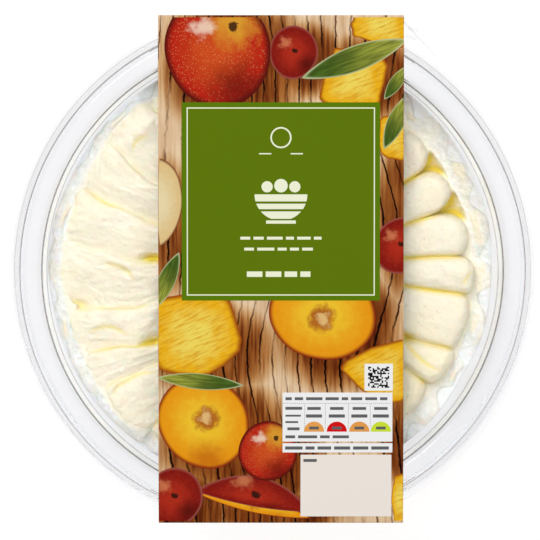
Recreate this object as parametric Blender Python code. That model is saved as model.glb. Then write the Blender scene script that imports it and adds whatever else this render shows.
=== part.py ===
"""A chilled fruit trifle in its clear bowl, with a clear press-on lid and a card band round the pack.

Metres, +Z up. The origin is on the surface the pack rests on, under the centre of the bowl.
From the bottom up: the card band's lower panel, the bowl's base, fruit set in jelly, custard,
and whipped cream laid in radial strokes. The lid closes the bowl and the band closes the lid.
"""

import math

import bpy

# Card band (a sleeve of folded card, glued under the base)
CARD = 0.00045
SLEEVE_WIDTH = 0.0762
SLEEVE_LENGTH = 0.1580
SLEEVE_CENTRE_X = 0.0026
SLEEVE_CENTRE_Y = 0.0005
SLEEVE_BASE_LENGTH = 0.1172
SLEEVE_HEIGHT = 0.0658
SLEEVE_BEND_HEIGHT = 0.0562
FOLD_RADIUS = 0.0012
BEND_RADIUS = 0.0030
FOLD_STEPS = 3

# Fit
GAP = 0.0003
TURN_STEPS = 60

# Lid
SHEET = 0.00045
LID_RADIUS = 0.0830
PANEL_RADIUS = 0.0703
RING_INNER = 0.0717
RING_OUTER = 0.0785
SHELF_INNER = 0.0797
SHELF_OUTER = 0.0804
SKIRT_RADIUS = 0.0820
PANEL_DROP = 0.0030
SHELF_DROP = 0.0036
LIP_DROP = 0.0076
LID_TOP = SLEEVE_HEIGHT - CARD - GAP
PINCH_START = 0.0730

# Pull tab of the lid, cut off along a straight edge
TAB_START_ANGLE = 47.0
TAB_CORNER = (0.0410, 0.0780)

# Bowl
BOWL_SHEET = 0.0006
BOWL_BASE = CARD + GAP
FLOOR = BOWL_BASE + BOWL_SHEET
BASE_RADIUS = 0.0524
HEEL_RADIUS = 0.0570
HEEL_HEIGHT = 0.0040
HEEL_STEPS = 3
FLANGE_TOP = LID_TOP - SHEET - GAP
FLANGE_RADIUS = 0.0770
EDGE_RADIUS = 0.0785
EDGE_DROP = 0.0029
WALL_TOP_RADIUS = 0.0723

# Contents
FRUIT_TOP = 0.0240
CUSTARD_TOP = 0.0440
CREAM_FOOT = 0.0468
CREAM_CROWN = 0.0555
CREAM_CENTRE = 0.0535
SMEARED_LIFT = 0.0034
GAP_FLOOR = 0.0447
EDGE_ROUND = 0.0023
EDGE_FALL = 0.0026
CREST_ROUND = 0.0010
END_ROUND = 0.0038
END_SHAPE = 2.7
SHINGLE_FRONT = 0.0020
SHINGLE_FALL = 0.0036
FILM_THICK = 0.0006
FILM_START = 0.0006
STROKE_INNER = 0.0100
STROKE_MIDDLE = 0.0420
STROKE_OUTER = 0.0640

# Cream strokes, anticlockwise from +X: angle of the groove that starts the stroke where it reaches
# the wall, the same groove's angle further in, then in mm how far out the stroke reaches and how
# deep the gap between its end and the one before it is.
RIGHT_STROKES = [
    (-49.0, -50.0, 62.6, 3.5), (-36.5, -36.8, 64.0, 3.2), (-23.1, -28.0, 63.8, 1.8),
    (-7.6, -6.8, 63.6, 2.2), (3.7, 5.2, 62.2, 4.0), (18.7, 18.9, 61.6, 7.0), (32.6, 34.0, 62.0, 6.0),
]
LEFT_STROKES = [
    (126.4, 127.0, 66.2, 1.0), (141.0, 142.0, 65.2, 0.8), (156.7, 158.8, 65.4, 1.2),
    (171.2, 175.0, 66.0, 1.0), (188.9, 195.0, 64.8, 2.6), (204.2, 211.0, 65.0, 1.0),
    (217.1, 218.5, 66.4, 1.4),
]
BACK_STROKES = (47.5, 6, 64.5)
FRONT_STROKES = (232.0, 6, 64.5)
EVEN_GAP = 3.5
HALF_SMEARED = 0.4

# Height of the cream film's edge on the wall, by angle (mm)
FILM_TOP = [
    (-60, 46.5), (-40, 46.0), (-20, 49.0), (0, 47.5), (20, 51.5), (35, 54.0), (50, 56.0), (90, 52.5),
    (125, 54.5), (150, 53.0), (185, 53.0), (215, 53.0), (240, 50.0), (300, 46.5),
]


def material(name, colour, roughness, alpha=1.0):
    made = bpy.data.materials.new(name)
    made.use_nodes = True
    shader = made.node_tree.nodes["Principled BSDF"]
    shader.inputs["Base Color"].default_value = (*colour, 1.0)
    shader.inputs["Roughness"].default_value = roughness
    shader.inputs["Metallic"].default_value = 0.0
    shader.inputs["Alpha"].default_value = alpha
    return made


def add_piece(name, points, faces, finish):
    mesh = bpy.data.meshes.new(name)
    mesh.from_pydata(points, [], faces)
    mesh.materials.append(finish)
    mesh.shade_smooth()
    mesh.set_sharp_from_angle(angle=math.radians(35))
    piece = bpy.data.objects.new(name, mesh)
    bpy.context.scene.collection.objects.link(piece)
    return piece


def shell(rings):
    """Points and faces of a closed body made of rings, each a list of points, with a pole at both ends."""
    around = len(rings[0])
    points = [rings[0][0]]
    faces = []
    inner = rings[1:-1]
    for ring in inner:
        points.extend(ring)
    points.append(rings[-1][0])
    last = len(points) - 1
    for step in range(around):
        after = (step + 1) % around
        faces.append((0, 1 + after, 1 + step))
        for level in range(len(inner) - 1):
            low = 1 + level * around
            high = low + around
            faces.append((low + step, low + after, high + after, high + step))
        end = 1 + (len(inner) - 1) * around
        faces.append((last, end + step, end + after))
    return points, faces


def on_circle(radius, angle, height):
    return (radius * math.cos(angle), radius * math.sin(angle), height)


def band_reach(angle):
    """How far out the card band's end panels let the rim come in this direction."""
    across = math.sin(angle)
    if abs(across) < 0.5:
        return math.inf
    side = math.copysign(1.0, across)
    end_panel = SLEEVE_LENGTH / 2 - CARD - GAP + side * SLEEVE_CENTRE_Y
    return end_panel / abs(across)


def pinched(radius, angle):
    """The rim is pressed in by the band's ends: rings outside PINCH_START move in, in proportion."""
    excess = max(0.0, LID_RADIUS - band_reach(angle))
    share = max(0.0, radius - PINCH_START) / (LID_RADIUS - PINCH_START)
    return radius - excess * share


def tab_reach(angle):
    """Outline of the pull tab: a straight edge from the rim to its corner under the band."""
    start = math.radians(TAB_START_ANGLE)
    x0, y0 = LID_RADIUS * math.cos(start), LID_RADIUS * math.sin(start)
    x1, y1 = TAB_CORNER
    if not start < angle < math.radians(72.0):
        return 0.0
    run_x, run_y = x1 - x0, y1 - y0
    along = math.cos(angle) * run_y - math.sin(angle) * run_x
    edge = (x0 * run_y - y0 * run_x) / along
    return min(edge, y1 / math.sin(angle))


def heel_arc(base_radius, base_height, wall_radius, wall_height):
    """Quarter turn from the flat base up into the wall."""
    arc = []
    for step in range(HEEL_STEPS + 1):
        turn = math.pi / 2 * step / HEEL_STEPS
        radius = base_radius + (wall_radius - base_radius) * math.sin(turn)
        height = wall_height - (wall_height - base_height) * math.cos(turn)
        arc.append((radius, height))
    return arc


def wall_inner(height):
    """Radius of the bowl's inner wall at this height, above the heel."""
    foot = FLOOR + HEEL_HEIGHT
    rise = (height - foot) / (FLANGE_TOP - foot)
    return HEEL_RADIUS + rise * (WALL_TOP_RADIUS - HEEL_RADIUS)


def turned_angles():
    return [2 * math.pi * step / TURN_STEPS for step in range(TURN_STEPS)]


def turned(profile, reach=None):
    """Rings of a turned profile, running from the axis below to the axis above or back."""
    rings = []
    for index, (radius, height) in enumerate(profile):
        ring = []
        for angle in turned_angles():
            out = pinched(radius, angle)
            if reach and index in reach:
                out = max(out, tab_reach(angle) - (LID_RADIUS - radius))
            ring.append(on_circle(out, angle, height))
        rings.append(ring)
    return rings


def make_bowl():
    clear = material("clear_bowl_plastic", (0.93, 0.95, 0.96), 0.08, 0.25)
    flange_low = FLANGE_TOP - BOWL_SHEET
    edge_low = FLANGE_TOP - EDGE_DROP
    outer = [(0.0, BOWL_BASE)]
    outer += heel_arc(BASE_RADIUS, BOWL_BASE, HEEL_RADIUS + BOWL_SHEET, FLOOR + HEEL_HEIGHT)
    outer += [
        (WALL_TOP_RADIUS + BOWL_SHEET, flange_low),
        (FLANGE_RADIUS, flange_low),
        (EDGE_RADIUS - BOWL_SHEET, edge_low),
        (EDGE_RADIUS, edge_low),
        (FLANGE_RADIUS + BOWL_SHEET, FLANGE_TOP),
    ]
    inner = [(WALL_TOP_RADIUS, FLANGE_TOP)]
    inner += reversed(heel_arc(BASE_RADIUS - BOWL_SHEET, FLOOR, HEEL_RADIUS, FLOOR + HEEL_HEIGHT))
    inner += [(0.0, FLOOR)]
    points, faces = shell(turned(outer + inner))
    add_piece("bowl", points, faces, clear)


def sheet_under(upper, thickness):
    """The lower side of a sheet of even thickness, from its upper side. Both run outwards."""
    lower = []
    for index, (radius, height) in enumerate(upper):
        before = upper[max(index - 1, 0)]
        after = upper[min(index + 1, len(upper) - 1)]
        first = math.atan2(height - before[1], radius - before[0]) if index else 0.0
        last = math.atan2(after[1] - height, after[0] - radius) if index < len(upper) - 1 else first
        middle = (first + last) / 2
        length = thickness / math.cos((last - first) / 2)
        lower.append((radius + length * math.sin(middle), height - length * math.cos(middle)))
    return lower


def make_lid():
    clear = material("clear_lid_plastic", (0.94, 0.96, 0.98), 0.06, 0.2)
    panel = LID_TOP - PANEL_DROP
    shelf = LID_TOP - SHELF_DROP
    lip = LID_TOP - LIP_DROP
    upper = [
        (0.0, panel),
        (PANEL_RADIUS, panel),
        (RING_INNER, LID_TOP),
        (RING_OUTER, LID_TOP),
        (SHELF_INNER, shelf),
        (SHELF_OUTER, shelf),
        (SKIRT_RADIUS, lip),
        (LID_RADIUS, lip),
    ]
    lower = sheet_under(upper, SHEET)
    lower[-1] = (LID_RADIUS, lip - SHEET)
    edge = len(lower) - 1
    points, faces = shell(turned(lower + upper[::-1], reach=(edge, edge + 1)))
    add_piece("lid", points, faces, clear)


def make_fruit_base():
    jelly = material("peach_fruit_jelly", (0.80, 0.30, 0.08), 0.25)
    foot = FLOOR + HEEL_HEIGHT
    profile = [(0.0, FLOOR + GAP)]
    profile += heel_arc(BASE_RADIUS - BOWL_SHEET - GAP, FLOOR + GAP, HEEL_RADIUS - GAP, foot + GAP)
    profile += [(wall_inner(FRUIT_TOP) - GAP, FRUIT_TOP), (0.0, FRUIT_TOP)]
    points, faces = shell(turned(profile))
    add_piece("fruit_jelly", points, faces, jelly)


def make_custard():
    yellow = material("custard", (0.90, 0.62, 0.15), 0.35)
    low = FRUIT_TOP + GAP
    profile = [
        (0.0, low),
        (wall_inner(low) - GAP, low),
        (wall_inner(CUSTARD_TOP) - GAP, CUSTARD_TOP),
        (0.0, CUSTARD_TOP),
    ]
    points, faces = shell(turned(profile))
    add_piece("custard", points, faces, yellow)


def even_strokes(first, count, last, reach):
    """Strokes under the band, spaced evenly between their neighbours."""
    step = (last - first) / count
    return [(first + step * index, first + step * index, reach, EVEN_GAP) for index in range(count)]


def all_strokes():
    """Every cream stroke once round: its groove at the wall and further in, reach, gap, how smeared it is."""
    back_start, back_count, back_reach = BACK_STROKES
    front_start, front_count, front_reach = FRONT_STROKES
    back = even_strokes(back_start, back_count, LEFT_STROKES[0][0], back_reach)
    front = even_strokes(front_start, front_count, RIGHT_STROKES[0][0] + 360.0, front_reach)
    strokes = []
    groups = ((RIGHT_STROKES, 0.0), (back, HALF_SMEARED), (LEFT_STROKES, 1.0), (front, HALF_SMEARED))
    for group, smeared in groups:
        for outer, inner, reach, gap in group:
            strokes.append((math.radians(outer), math.radians(inner), reach / 1000, gap / 1000, smeared))
    return strokes


def bulge(part):
    """A quarter round: 0 at the edge, 1 from the full width on."""
    return math.sqrt(1 - (1 - max(0.0, min(1.0, part))) ** 2)


def stroke_fall(side, width, smeared):
    """How far below its crest a stroke's surface lies at this place across it.

    A tongue is flat-topped with round edges. A smeared stroke has a steep front over its
    first groove and slopes down to the next one, like a shingle.
    """
    to_groove = (1 - abs(side)) * width / 2
    from_start = (side + 1) / 2 * width
    tongue = EDGE_FALL * (1 - bulge(to_groove / EDGE_ROUND)) + CREST_ROUND * side * side
    down = max(0.0, from_start - SHINGLE_FRONT) / max(width - SHINGLE_FRONT, SHINGLE_FRONT)
    shingle = SHINGLE_FALL * (1 - bulge(from_start / SHINGLE_FRONT) + down * down)
    return tongue * (1 - smeared) + shingle * smeared


def film_top(angle, side):
    """Height of the film's edge on the wall, a little higher behind each stroke."""
    degrees = math.degrees(angle) % 360.0
    table = sorted((at % 360.0, height) for at, height in FILM_TOP)
    table = [(table[-1][0] - 360.0, table[-1][1])] + table + [(table[0][0] + 360.0, table[0][1])]
    for (low, start), (high, end) in zip(table, table[1:]):
        if low <= degrees <= high:
            height = start + (end - start) * (degrees - low) / (high - low)
    return height / 1000 + 0.0022 * (0.4 - side * side)


def cream_column(strokes, index, side):
    """Points from the middle of the cream out to the wall along one line of a stroke.

    side runs from -1 at the stroke's first groove, over its crest at 0, to 1 at its other groove.
    """
    outer_a, inner_a, reach, gap, smeared = strokes[index]
    outer_b, inner_b, _, next_gap, _ = strokes[(index + 1) % len(strokes)]
    if index == len(strokes) - 1:
        outer_b += 2 * math.pi
        inner_b += 2 * math.pi
    neighbour = strokes[(index + (1 if side > 0 else -1)) % len(strokes)]
    between = (reach + neighbour[2]) / 2
    edge_gap = next_gap if side > 0 else gap
    end = reach + (between - reach) * side * side
    cut = 1 - (1 - abs(side) ** END_SHAPE) ** (1 / END_SHAPE)
    tip = min(end, reach - (reach - between + edge_gap) * cut)
    smeared += (neighbour[4] - smeared) * 0.5 * side ** 4
    share = (side + 1) / 2
    foot = CREAM_FOOT + SMEARED_LIFT * smeared
    low_foot = foot + (GAP_FLOOR - foot) * min(1.0, (end - tip) / 0.002)
    radii = [(tip - END_ROUND) * part for part in (0.17, 0.40, 0.62, 0.82, 1.0)]
    radii += [tip - END_ROUND * part for part in (0.5, 0.16, 0.0)]
    points = []
    for radius in radii:
        blend = (radius - STROKE_MIDDLE) / (STROKE_OUTER - STROKE_MIDDLE)
        blend = max(0.0, min(1.0, blend))
        start = inner_a + (outer_a - inner_a) * blend
        stop = inner_b + (outer_b - inner_b) * blend
        angle = start + (stop - start) * share
        spread = min(1.0, max(0.0, radius - STROKE_INNER) / (STROKE_MIDDLE - STROKE_INNER))
        crown = CREAM_CENTRE + (CREAM_CROWN - CREAM_CENTRE) * math.sin(math.pi / 2 * spread)
        crown -= spread * stroke_fall(side, (stop - start) * radius, smeared)
        height = low_foot + (crown - low_foot) * bulge((tip - radius) / END_ROUND)
        points.append(on_circle(radius, angle, height))
    points.append(on_circle(end + FILM_START, angle, foot))
    points.append(on_circle(wall_inner(foot) - GAP - FILM_THICK, angle, foot + 0.0002))
    rim = film_top(angle, side)
    points.append(on_circle(wall_inner(rim) - GAP, angle, max(rim, foot + 0.0006)))
    low = CUSTARD_TOP + GAP
    points.append(on_circle(wall_inner(low) - GAP, angle, low))
    return points


def make_cream():
    pale = material("whipped_cream", (0.96, 0.88, 0.66), 0.45)
    strokes = all_strokes()
    sides = (-1.0, -0.82, -0.45, 0.0, 0.45, 0.82)
    columns = [cream_column(strokes, index, side) for index in range(len(strokes)) for side in sides]
    rings = [[(0.0, 0.0, CUSTARD_TOP + GAP)] * len(columns)]
    for level in reversed(range(len(columns[0]))):
        rings.append([column[level] for column in columns])
    rings.append([(0.0, 0.0, CREAM_CENTRE)] * len(columns))
    points, faces = shell(rings)
    add_piece("cream", points, faces, pale)


def inset(corners, depth):
    """The same convex outline, moved inwards by depth. Corners run anticlockwise."""
    moved = []
    for index, (y, z) in enumerate(corners):
        before_y, before_z = corners[index - 1]
        after_y, after_z = corners[(index + 1) % len(corners)]
        first = math.atan2(z - before_z, y - before_y)
        second = math.atan2(after_z - z, after_y - y)
        normal = (first + (second - first) % (2 * math.pi) / 2) + math.pi / 2
        length = depth / math.cos((second - first) % (2 * math.pi) / 2)
        moved.append((y + length * math.cos(normal), z + length * math.sin(normal)))
    return moved


def rounded(corners, radii):
    """The outline with each corner replaced by an arc of its own radius."""
    outline = []
    for index, ((y, z), radius) in enumerate(zip(corners, radii)):
        before_y, before_z = corners[index - 1]
        after_y, after_z = corners[(index + 1) % len(corners)]
        first = math.atan2(z - before_z, y - before_y)
        turn = (math.atan2(after_z - z, after_y - y) - first) % (2 * math.pi)
        back = radius * math.tan(turn / 2)
        centre_y = y - back * math.cos(first) - radius * math.sin(first)
        centre_z = z - back * math.sin(first) + radius * math.cos(first)
        for step in range(FOLD_STEPS + 1):
            angle = first - math.pi / 2 + turn * step / FOLD_STEPS
            outline.append((centre_y + radius * math.cos(angle), centre_z + radius * math.sin(angle)))
    return outline


def make_sleeve():
    card = material("printed_card", (0.62, 0.50, 0.36), 0.35)
    left = SLEEVE_CENTRE_Y - SLEEVE_LENGTH / 2
    right = SLEEVE_CENTRE_Y + SLEEVE_LENGTH / 2
    base = SLEEVE_BASE_LENGTH / 2
    corners = [
        (-base, 0.0),
        (base, 0.0),
        (right, SLEEVE_BEND_HEIGHT),
        (right, SLEEVE_HEIGHT),
        (left, SLEEVE_HEIGHT),
        (left, SLEEVE_BEND_HEIGHT),
    ]
    radii = (FOLD_RADIUS, FOLD_RADIUS, BEND_RADIUS, FOLD_RADIUS, FOLD_RADIUS, BEND_RADIUS)
    outer = rounded(corners, radii)
    inner = rounded(inset(corners, CARD), [radius - CARD for radius in radii])
    x0 = SLEEVE_CENTRE_X - SLEEVE_WIDTH / 2
    x1 = SLEEVE_CENTRE_X + SLEEVE_WIDTH / 2
    count = len(outer)
    points = []
    for loop in (outer, inner):
        for x in (x0, x1):
            points.extend((x, y, z) for y, z in loop)
    faces = []
    for step in range(count):
        after = (step + 1) % count
        outer_0, outer_1, inner_0, inner_1 = (step + count * loop for loop in range(4))
        next_0, next_1, past_0, past_1 = (after + count * loop for loop in range(4))
        faces.append((outer_0, next_0, next_1, outer_1))
        faces.append((inner_0, inner_1, past_1, past_0))
        faces.append((outer_0, inner_0, past_0, next_0))
        faces.append((outer_1, next_1, past_1, inner_1))
    add_piece("sleeve", points, faces, card)


for old in list(bpy.data.objects):
    bpy.data.objects.remove(old)

make_sleeve()
make_bowl()
make_fruit_base()
make_custard()
make_cream()
make_lid()
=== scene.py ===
import math

import bpy
import numpy as np
from mathutils import Matrix, Vector


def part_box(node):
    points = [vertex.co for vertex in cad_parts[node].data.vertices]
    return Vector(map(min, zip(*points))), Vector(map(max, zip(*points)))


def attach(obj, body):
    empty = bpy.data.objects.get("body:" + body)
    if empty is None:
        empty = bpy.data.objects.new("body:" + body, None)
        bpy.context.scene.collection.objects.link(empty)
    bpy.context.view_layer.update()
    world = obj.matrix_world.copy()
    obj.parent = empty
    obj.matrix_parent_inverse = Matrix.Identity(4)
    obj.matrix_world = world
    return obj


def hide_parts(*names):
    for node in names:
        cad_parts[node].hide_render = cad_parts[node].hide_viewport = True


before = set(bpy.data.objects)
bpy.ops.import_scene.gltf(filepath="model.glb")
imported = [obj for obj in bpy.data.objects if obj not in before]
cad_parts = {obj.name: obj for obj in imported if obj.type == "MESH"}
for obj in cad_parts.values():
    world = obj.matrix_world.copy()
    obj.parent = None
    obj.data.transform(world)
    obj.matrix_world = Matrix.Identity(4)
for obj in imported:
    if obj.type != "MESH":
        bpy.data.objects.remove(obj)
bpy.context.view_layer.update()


# ---- Table, light and camera ----
# The pack stands on a plain white table that glows faintly from below, as light tables do, under
# broad soft light a little stronger from behind. The camera looks down on it from high above.
PACK_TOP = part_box("sleeve")[1][2]
FLOOR_WHITE = (0.28, 0.28, 0.28)
FLOOR_GLOW = 0.81
FLOOR_HALF = 3.0
VIEW_DISTANCE = 1.15
VIEW_WIDTH = 0.1677
VIEW_TILT = math.radians(3.0)
VIEW_CENTRE = (-0.0008, 0.0005)
SENSOR_WIDTH = 36.0
FILL_STRENGTH = 0.41
WHITE = (1.0, 1.0, 1.0, 1.0)
# Lamps: name, power, size and place. Both aim at the middle of the pack.
LAMPS = (("key_light", 8.1, 0.9, (-0.35, 0.75, 1.25)), ("top_light", 6.0, 1.6, (0.3, 0.0, 1.6)))
LAMP_AIM = (0.0, 0.0, 0.03)


def put(name, data):
    """A new object in the scene."""
    made = bpy.data.objects.new(name, data)
    bpy.context.scene.collection.objects.link(made)
    return made


def new_material(name, colour, roughness, **plain):
    """A material with one Principled shader whose even values stand on its own sockets."""
    made = bpy.data.materials.new(name)
    made.use_nodes = True
    shader = made.node_tree.nodes["Principled BSDF"]
    shader.inputs["Base Color"].default_value = (*colour, 1.0)
    shader.inputs["Roughness"].default_value = roughness
    for key, value in plain.items():
        shader.inputs[key.replace("_", " ")].default_value = value
    return made, made.node_tree, shader


def make_table():
    mesh = bpy.data.meshes.new("table_top")
    corners = ((-1, -1), (1, -1), (1, 1), (-1, 1))
    mesh.from_pydata([(x * FLOOR_HALF, y * FLOOR_HALF, 0) for x, y in corners], [], [(0, 1, 2, 3)])
    white, _, _ = new_material(
        "table_white", FLOOR_WHITE, 0.7, Emission_Color=WHITE, Emission_Strength=FLOOR_GLOW)
    mesh.materials.append(white)
    table = put("table_top", mesh)


def make_camera():
    lens = bpy.data.cameras.new("camera")
    lens.sensor_width = SENSOR_WIDTH
    lens.lens = SENSOR_WIDTH * VIEW_DISTANCE / VIEW_WIDTH
    lens.clip_start = 0.05
    camera = put("camera", lens)
    x, y = VIEW_CENTRE
    camera.location = (
        x, y + VIEW_DISTANCE * math.sin(VIEW_TILT), PACK_TOP + VIEW_DISTANCE * math.cos(VIEW_TILT))
    camera.rotation_euler = (-VIEW_TILT, 0.0, 0.0)
    bpy.context.scene.camera = camera


def make_lights():
    world = bpy.data.worlds.new("soft_studio")
    world.use_nodes = True
    sky = world.node_tree.nodes["Background"]
    sky.inputs["Color"].default_value = WHITE
    sky.inputs["Strength"].default_value = FILL_STRENGTH
    bpy.context.scene.world = world
    bpy.context.scene.view_settings.view_transform = "Standard"
    for name, power, size, place in LAMPS:
        lamp = bpy.data.lights.new(name, "AREA")
        lamp.energy = power
        lamp.shape = "DISK"
        lamp.size = size
        holder = put(name, lamp)
        holder.location = place
        holder.rotation_euler = (Vector(LAMP_AIM) - Vector(place)).to_track_quat("-Z", "Y").to_euler()


make_table()
make_camera()
make_lights()


# ---- Clear bowl ----
# Thermoformed from clear sheet: a flat base, a rounded heel, a sloping wall and a flat flange
# with its edge turned down. The card band presses its rim in at both ends.
BOWL_SHEET = 0.0006
BASE_RADIUS = 0.0524
HEEL_RADIUS = 0.057
HEEL_HEIGHT = 0.004
HEEL_STEPS = 6
WALL_TOP_RADIUS = 0.0723
FLANGE_RADIUS = 0.0773
EDGE_RADIUS = 0.0782
EDGE_DROP = 0.0029
HEEL_SOFTNESS = 0.0003
RIM_SOFTNESS = (0.0016, 0.0008)
TURN_STEPS = 480
LID_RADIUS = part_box("lid")[1][0]
PINCH_START = 0.073
CARD = 0.00045
GAP = 0.0003
# The band's end panels meet the rim only in directions whose sine is over this
BAND_SINE = 0.5
BOWL_TINT = (0.917, 0.928, 0.934)
BOWL_GLOSS = 0.8
BOWL_RIPPLE = 0.12
SHEET_BEND = 1.06
SHEET_ROUGHNESS = 0.03
SHEET_HUE = (0.994, 1.0, 1.026)
RIPPLE_SIZE = 60.0
RIPPLE_HEIGHT = 0.0004

bowl_low, bowl_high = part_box("bowl")
sleeve_low, sleeve_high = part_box("sleeve")
floor_height = bowl_low[2] + BOWL_SHEET
flange_top = bowl_high[2]
turn_angles = np.arange(TURN_STEPS) * 2 * math.pi / TURN_STEPS


def round_corner(before, corner, after, softness, steps=5, most=0.49):
    """Points that round off one corner, starting at most this share of the way from it to the next."""
    corner = Vector(corner)
    back, on = Vector(before) - corner, Vector(after) - corner
    start = corner + back.normalized() * min(softness, back.length * most)
    end = corner + on.normalized() * min(softness, on.length * most)
    shares = [step / steps for step in range(steps + 1)]
    return [tuple(start * (1 - t) ** 2 + corner * 2 * t * (1 - t) + end * t ** 2) for t in shares]


def softened(line, sizes):
    """A line of (radius, height) points with each inner corner rounded by a curve of its own size."""
    soft = [line[0]]
    for before, corner, after, softness in zip(line, line[1:], line[2:], sizes):
        soft += round_corner(before, corner, after, softness)
    return np.array(soft + [line[-1]])


def heel_arc(inner, outer, low, rise):
    """The rounded heel, from the base's edge out and up to the foot of the wall."""
    turns = [math.pi / 2 * step / HEEL_STEPS for step in range(HEEL_STEPS + 1)]
    return [(inner + (outer - inner) * math.sin(turn), low + rise * (1 - math.cos(turn))) for turn in turns]


def sheet_outline(line, thickness):
    """The closed outline of a sheet of even thickness round its middle line, from the axis and back."""
    along = np.zeros_like(line)
    for part in (np.diff(line, axis=0, append=line[-1:]), np.diff(line, axis=0, prepend=line[:1])):
        along += part / np.maximum(np.linalg.norm(part, axis=1, keepdims=True), 1e-9)
    along /= np.linalg.norm(along, axis=1, keepdims=True)
    across = np.stack([along[:, 1], -along[:, 0]], axis=1) * thickness / 2
    across[0] = (0.0, -thickness / 2)
    return np.concatenate([line + across, (line - across)[::-1]])


def band_reach(angle):
    """How far out the card band's end panels let the rim come in this direction."""
    across = np.sin(angle)
    panel = np.where(across > 0, sleeve_high[1], -sleeve_low[1]) - CARD - GAP
    return np.where(np.abs(across) > BAND_SINE, panel / np.maximum(np.abs(across), BAND_SINE), 1.0)


def pinched(radius, angle):
    """The rim pressed in by the band: rings outside PINCH_START move in, in proportion."""
    excess = np.maximum(0.0, LID_RADIUS - band_reach(angle))
    share = np.maximum(0.0, radius - PINCH_START) / (LID_RADIUS - PINCH_START)
    return radius - excess * share


def ring_points(radius, angle, height):
    """Points at these distances, angles and heights round the axis."""
    return np.stack([radius * np.cos(angle), radius * np.sin(angle), height * np.ones(len(angle))], axis=1)


def turned(outline, reshape=pinched):
    """Points and faces of a closed turned body. The outline runs from the axis below to the axis above."""
    rings = [ring_points(reshape(np.full(TURN_STEPS, radius), turn_angles), turn_angles, height)
             for radius, height in outline[1:-1]]
    ends = [np.array([[0.0, 0.0, outline[end][1]]]) for end in (0, -1)]
    return np.concatenate(ends[:1] + rings + ends[1:]), ring_faces(TURN_STEPS, len(rings))


def ring_faces(around, levels):
    """Faces of a closed body of rings with a pole below and a pole above."""
    step = np.arange(around)
    after = (step + 1) % around
    faces = [(0, 1 + b, 1 + a) for a, b in zip(step, after)]
    for low in range(1, 1 + (levels - 1) * around, around):
        high = low + around
        faces += list(zip(low + step, low + after, high + after, high + step))
    last = 1 + levels * around
    end = last - around
    faces += [(last, end + a, end + b) for a, b in zip(step, after)]
    return [tuple(int(i) for i in face) for face in faces]


def add_piece(name, points, faces, finish, sharp=50):
    """A smooth mesh piece. Edges that turn by more than this many degrees stay sharp."""
    mesh = bpy.data.meshes.new(name)
    mesh.from_pydata(np.asarray(points).tolist(), [], faces)
    mesh.materials.append(finish)
    mesh.shade_smooth()
    mesh.set_sharp_from_angle(angle=math.radians(sharp))
    return put(name, mesh)


def add_values(piece, name, values):
    """A number at each point of a piece, for its material to read."""
    layer = piece.data.attributes.new(name, "FLOAT", "POINT")
    layer.data.foreach_set("value", np.asarray(values, dtype=np.float32))


def fit(piece, slot, *nodes):
    """The piece rides on the pack and stands for these CAD nodes, which it hides. Its slot is not used."""
    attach(piece, "root")
    if nodes:
        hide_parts(*nodes)


def add_node(tree, kind, values=None, out=0, **settings):
    """One output of a new node. Each of its inputs gets a plain value or another node's output."""
    made = tree.nodes.new(kind)
    for key, value in settings.items():
        setattr(made, key, value)
    for key, value in (values or {}).items():
        if isinstance(value, bpy.types.NodeSocket):
            tree.links.new(value, made.inputs[key])
        else:
            made.inputs[key].default_value = value
    return made.outputs[out] if made.outputs else None


def noise(tree, place, scale, detail, **more):
    return add_node(tree, "ShaderNodeTexNoise", {"Vector": place, "Scale": scale, "Detail": detail, **more})


def raised(tree, height, strength, distance):
    return add_node(tree, "ShaderNodeBump", {"Height": height, "Strength": strength, "Distance": distance})


def ranged(tree, value, start, end, low=0.0, high=1.0, way="LINEAR"):
    """The value mapped from start..end to low..high."""
    return add_node(tree, "ShaderNodeMapRange", {
        "Value": value, "From Min": start, "From Max": end, "To Min": low, "To Max": high},
        interpolation_type=way)


def join(shader, **outputs):
    """Joins outputs to a shader's inputs, each named with _ for a space."""
    for key, output in outputs.items():
        shader.id_data.links.new(output, shader.inputs[key.replace("_", " ")])


def object_place(tree):
    return add_node(tree, "ShaderNodeTexCoord", out="Object")


def sheet_ripple_group():
    """Faint waves that the forming leaves in clear sheet."""
    group = bpy.data.node_groups.new("forming_ripple", "ShaderNodeTree")
    for name, way in (("Size", "INPUT"), ("Height", "OUTPUT")):
        group.interface.new_socket(name, in_out=way, socket_type="NodeSocketFloat")
    size = add_node(group, "NodeGroupInput", out="Size")
    add_node(group, "NodeGroupOutput", {"Height": noise(group, object_place(group), size, 1.0)})
    return group


forming_ripple = sheet_ripple_group()


def painted_ring_shade(tree, rings):
    """Painted shade: the plastic's tint, darkened in rings by its distance from the middle as formed: a row
    of (mm, grey) stops.
    """
    here = add_node(tree, "ShaderNodeAttribute", out="Fac", attribute_name="formed_radius")
    first, last = rings[0][0] / 1000, rings[-1][0] / 1000
    tint = add_node(tree, "ShaderNodeValToRGB", {"Fac": ranged(tree, here, first, last)})
    stops = tint.node.color_ramp.elements
    for index, (place, grey) in enumerate(rings):
        spot = (place / 1000 - first) / (last - first)
        stop = stops[index] if index < 2 else stops.new(spot)
        stop.position = spot
        stop.color = (*(grey * part for part in SHEET_HUE), 1.0)
    return tint


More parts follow.
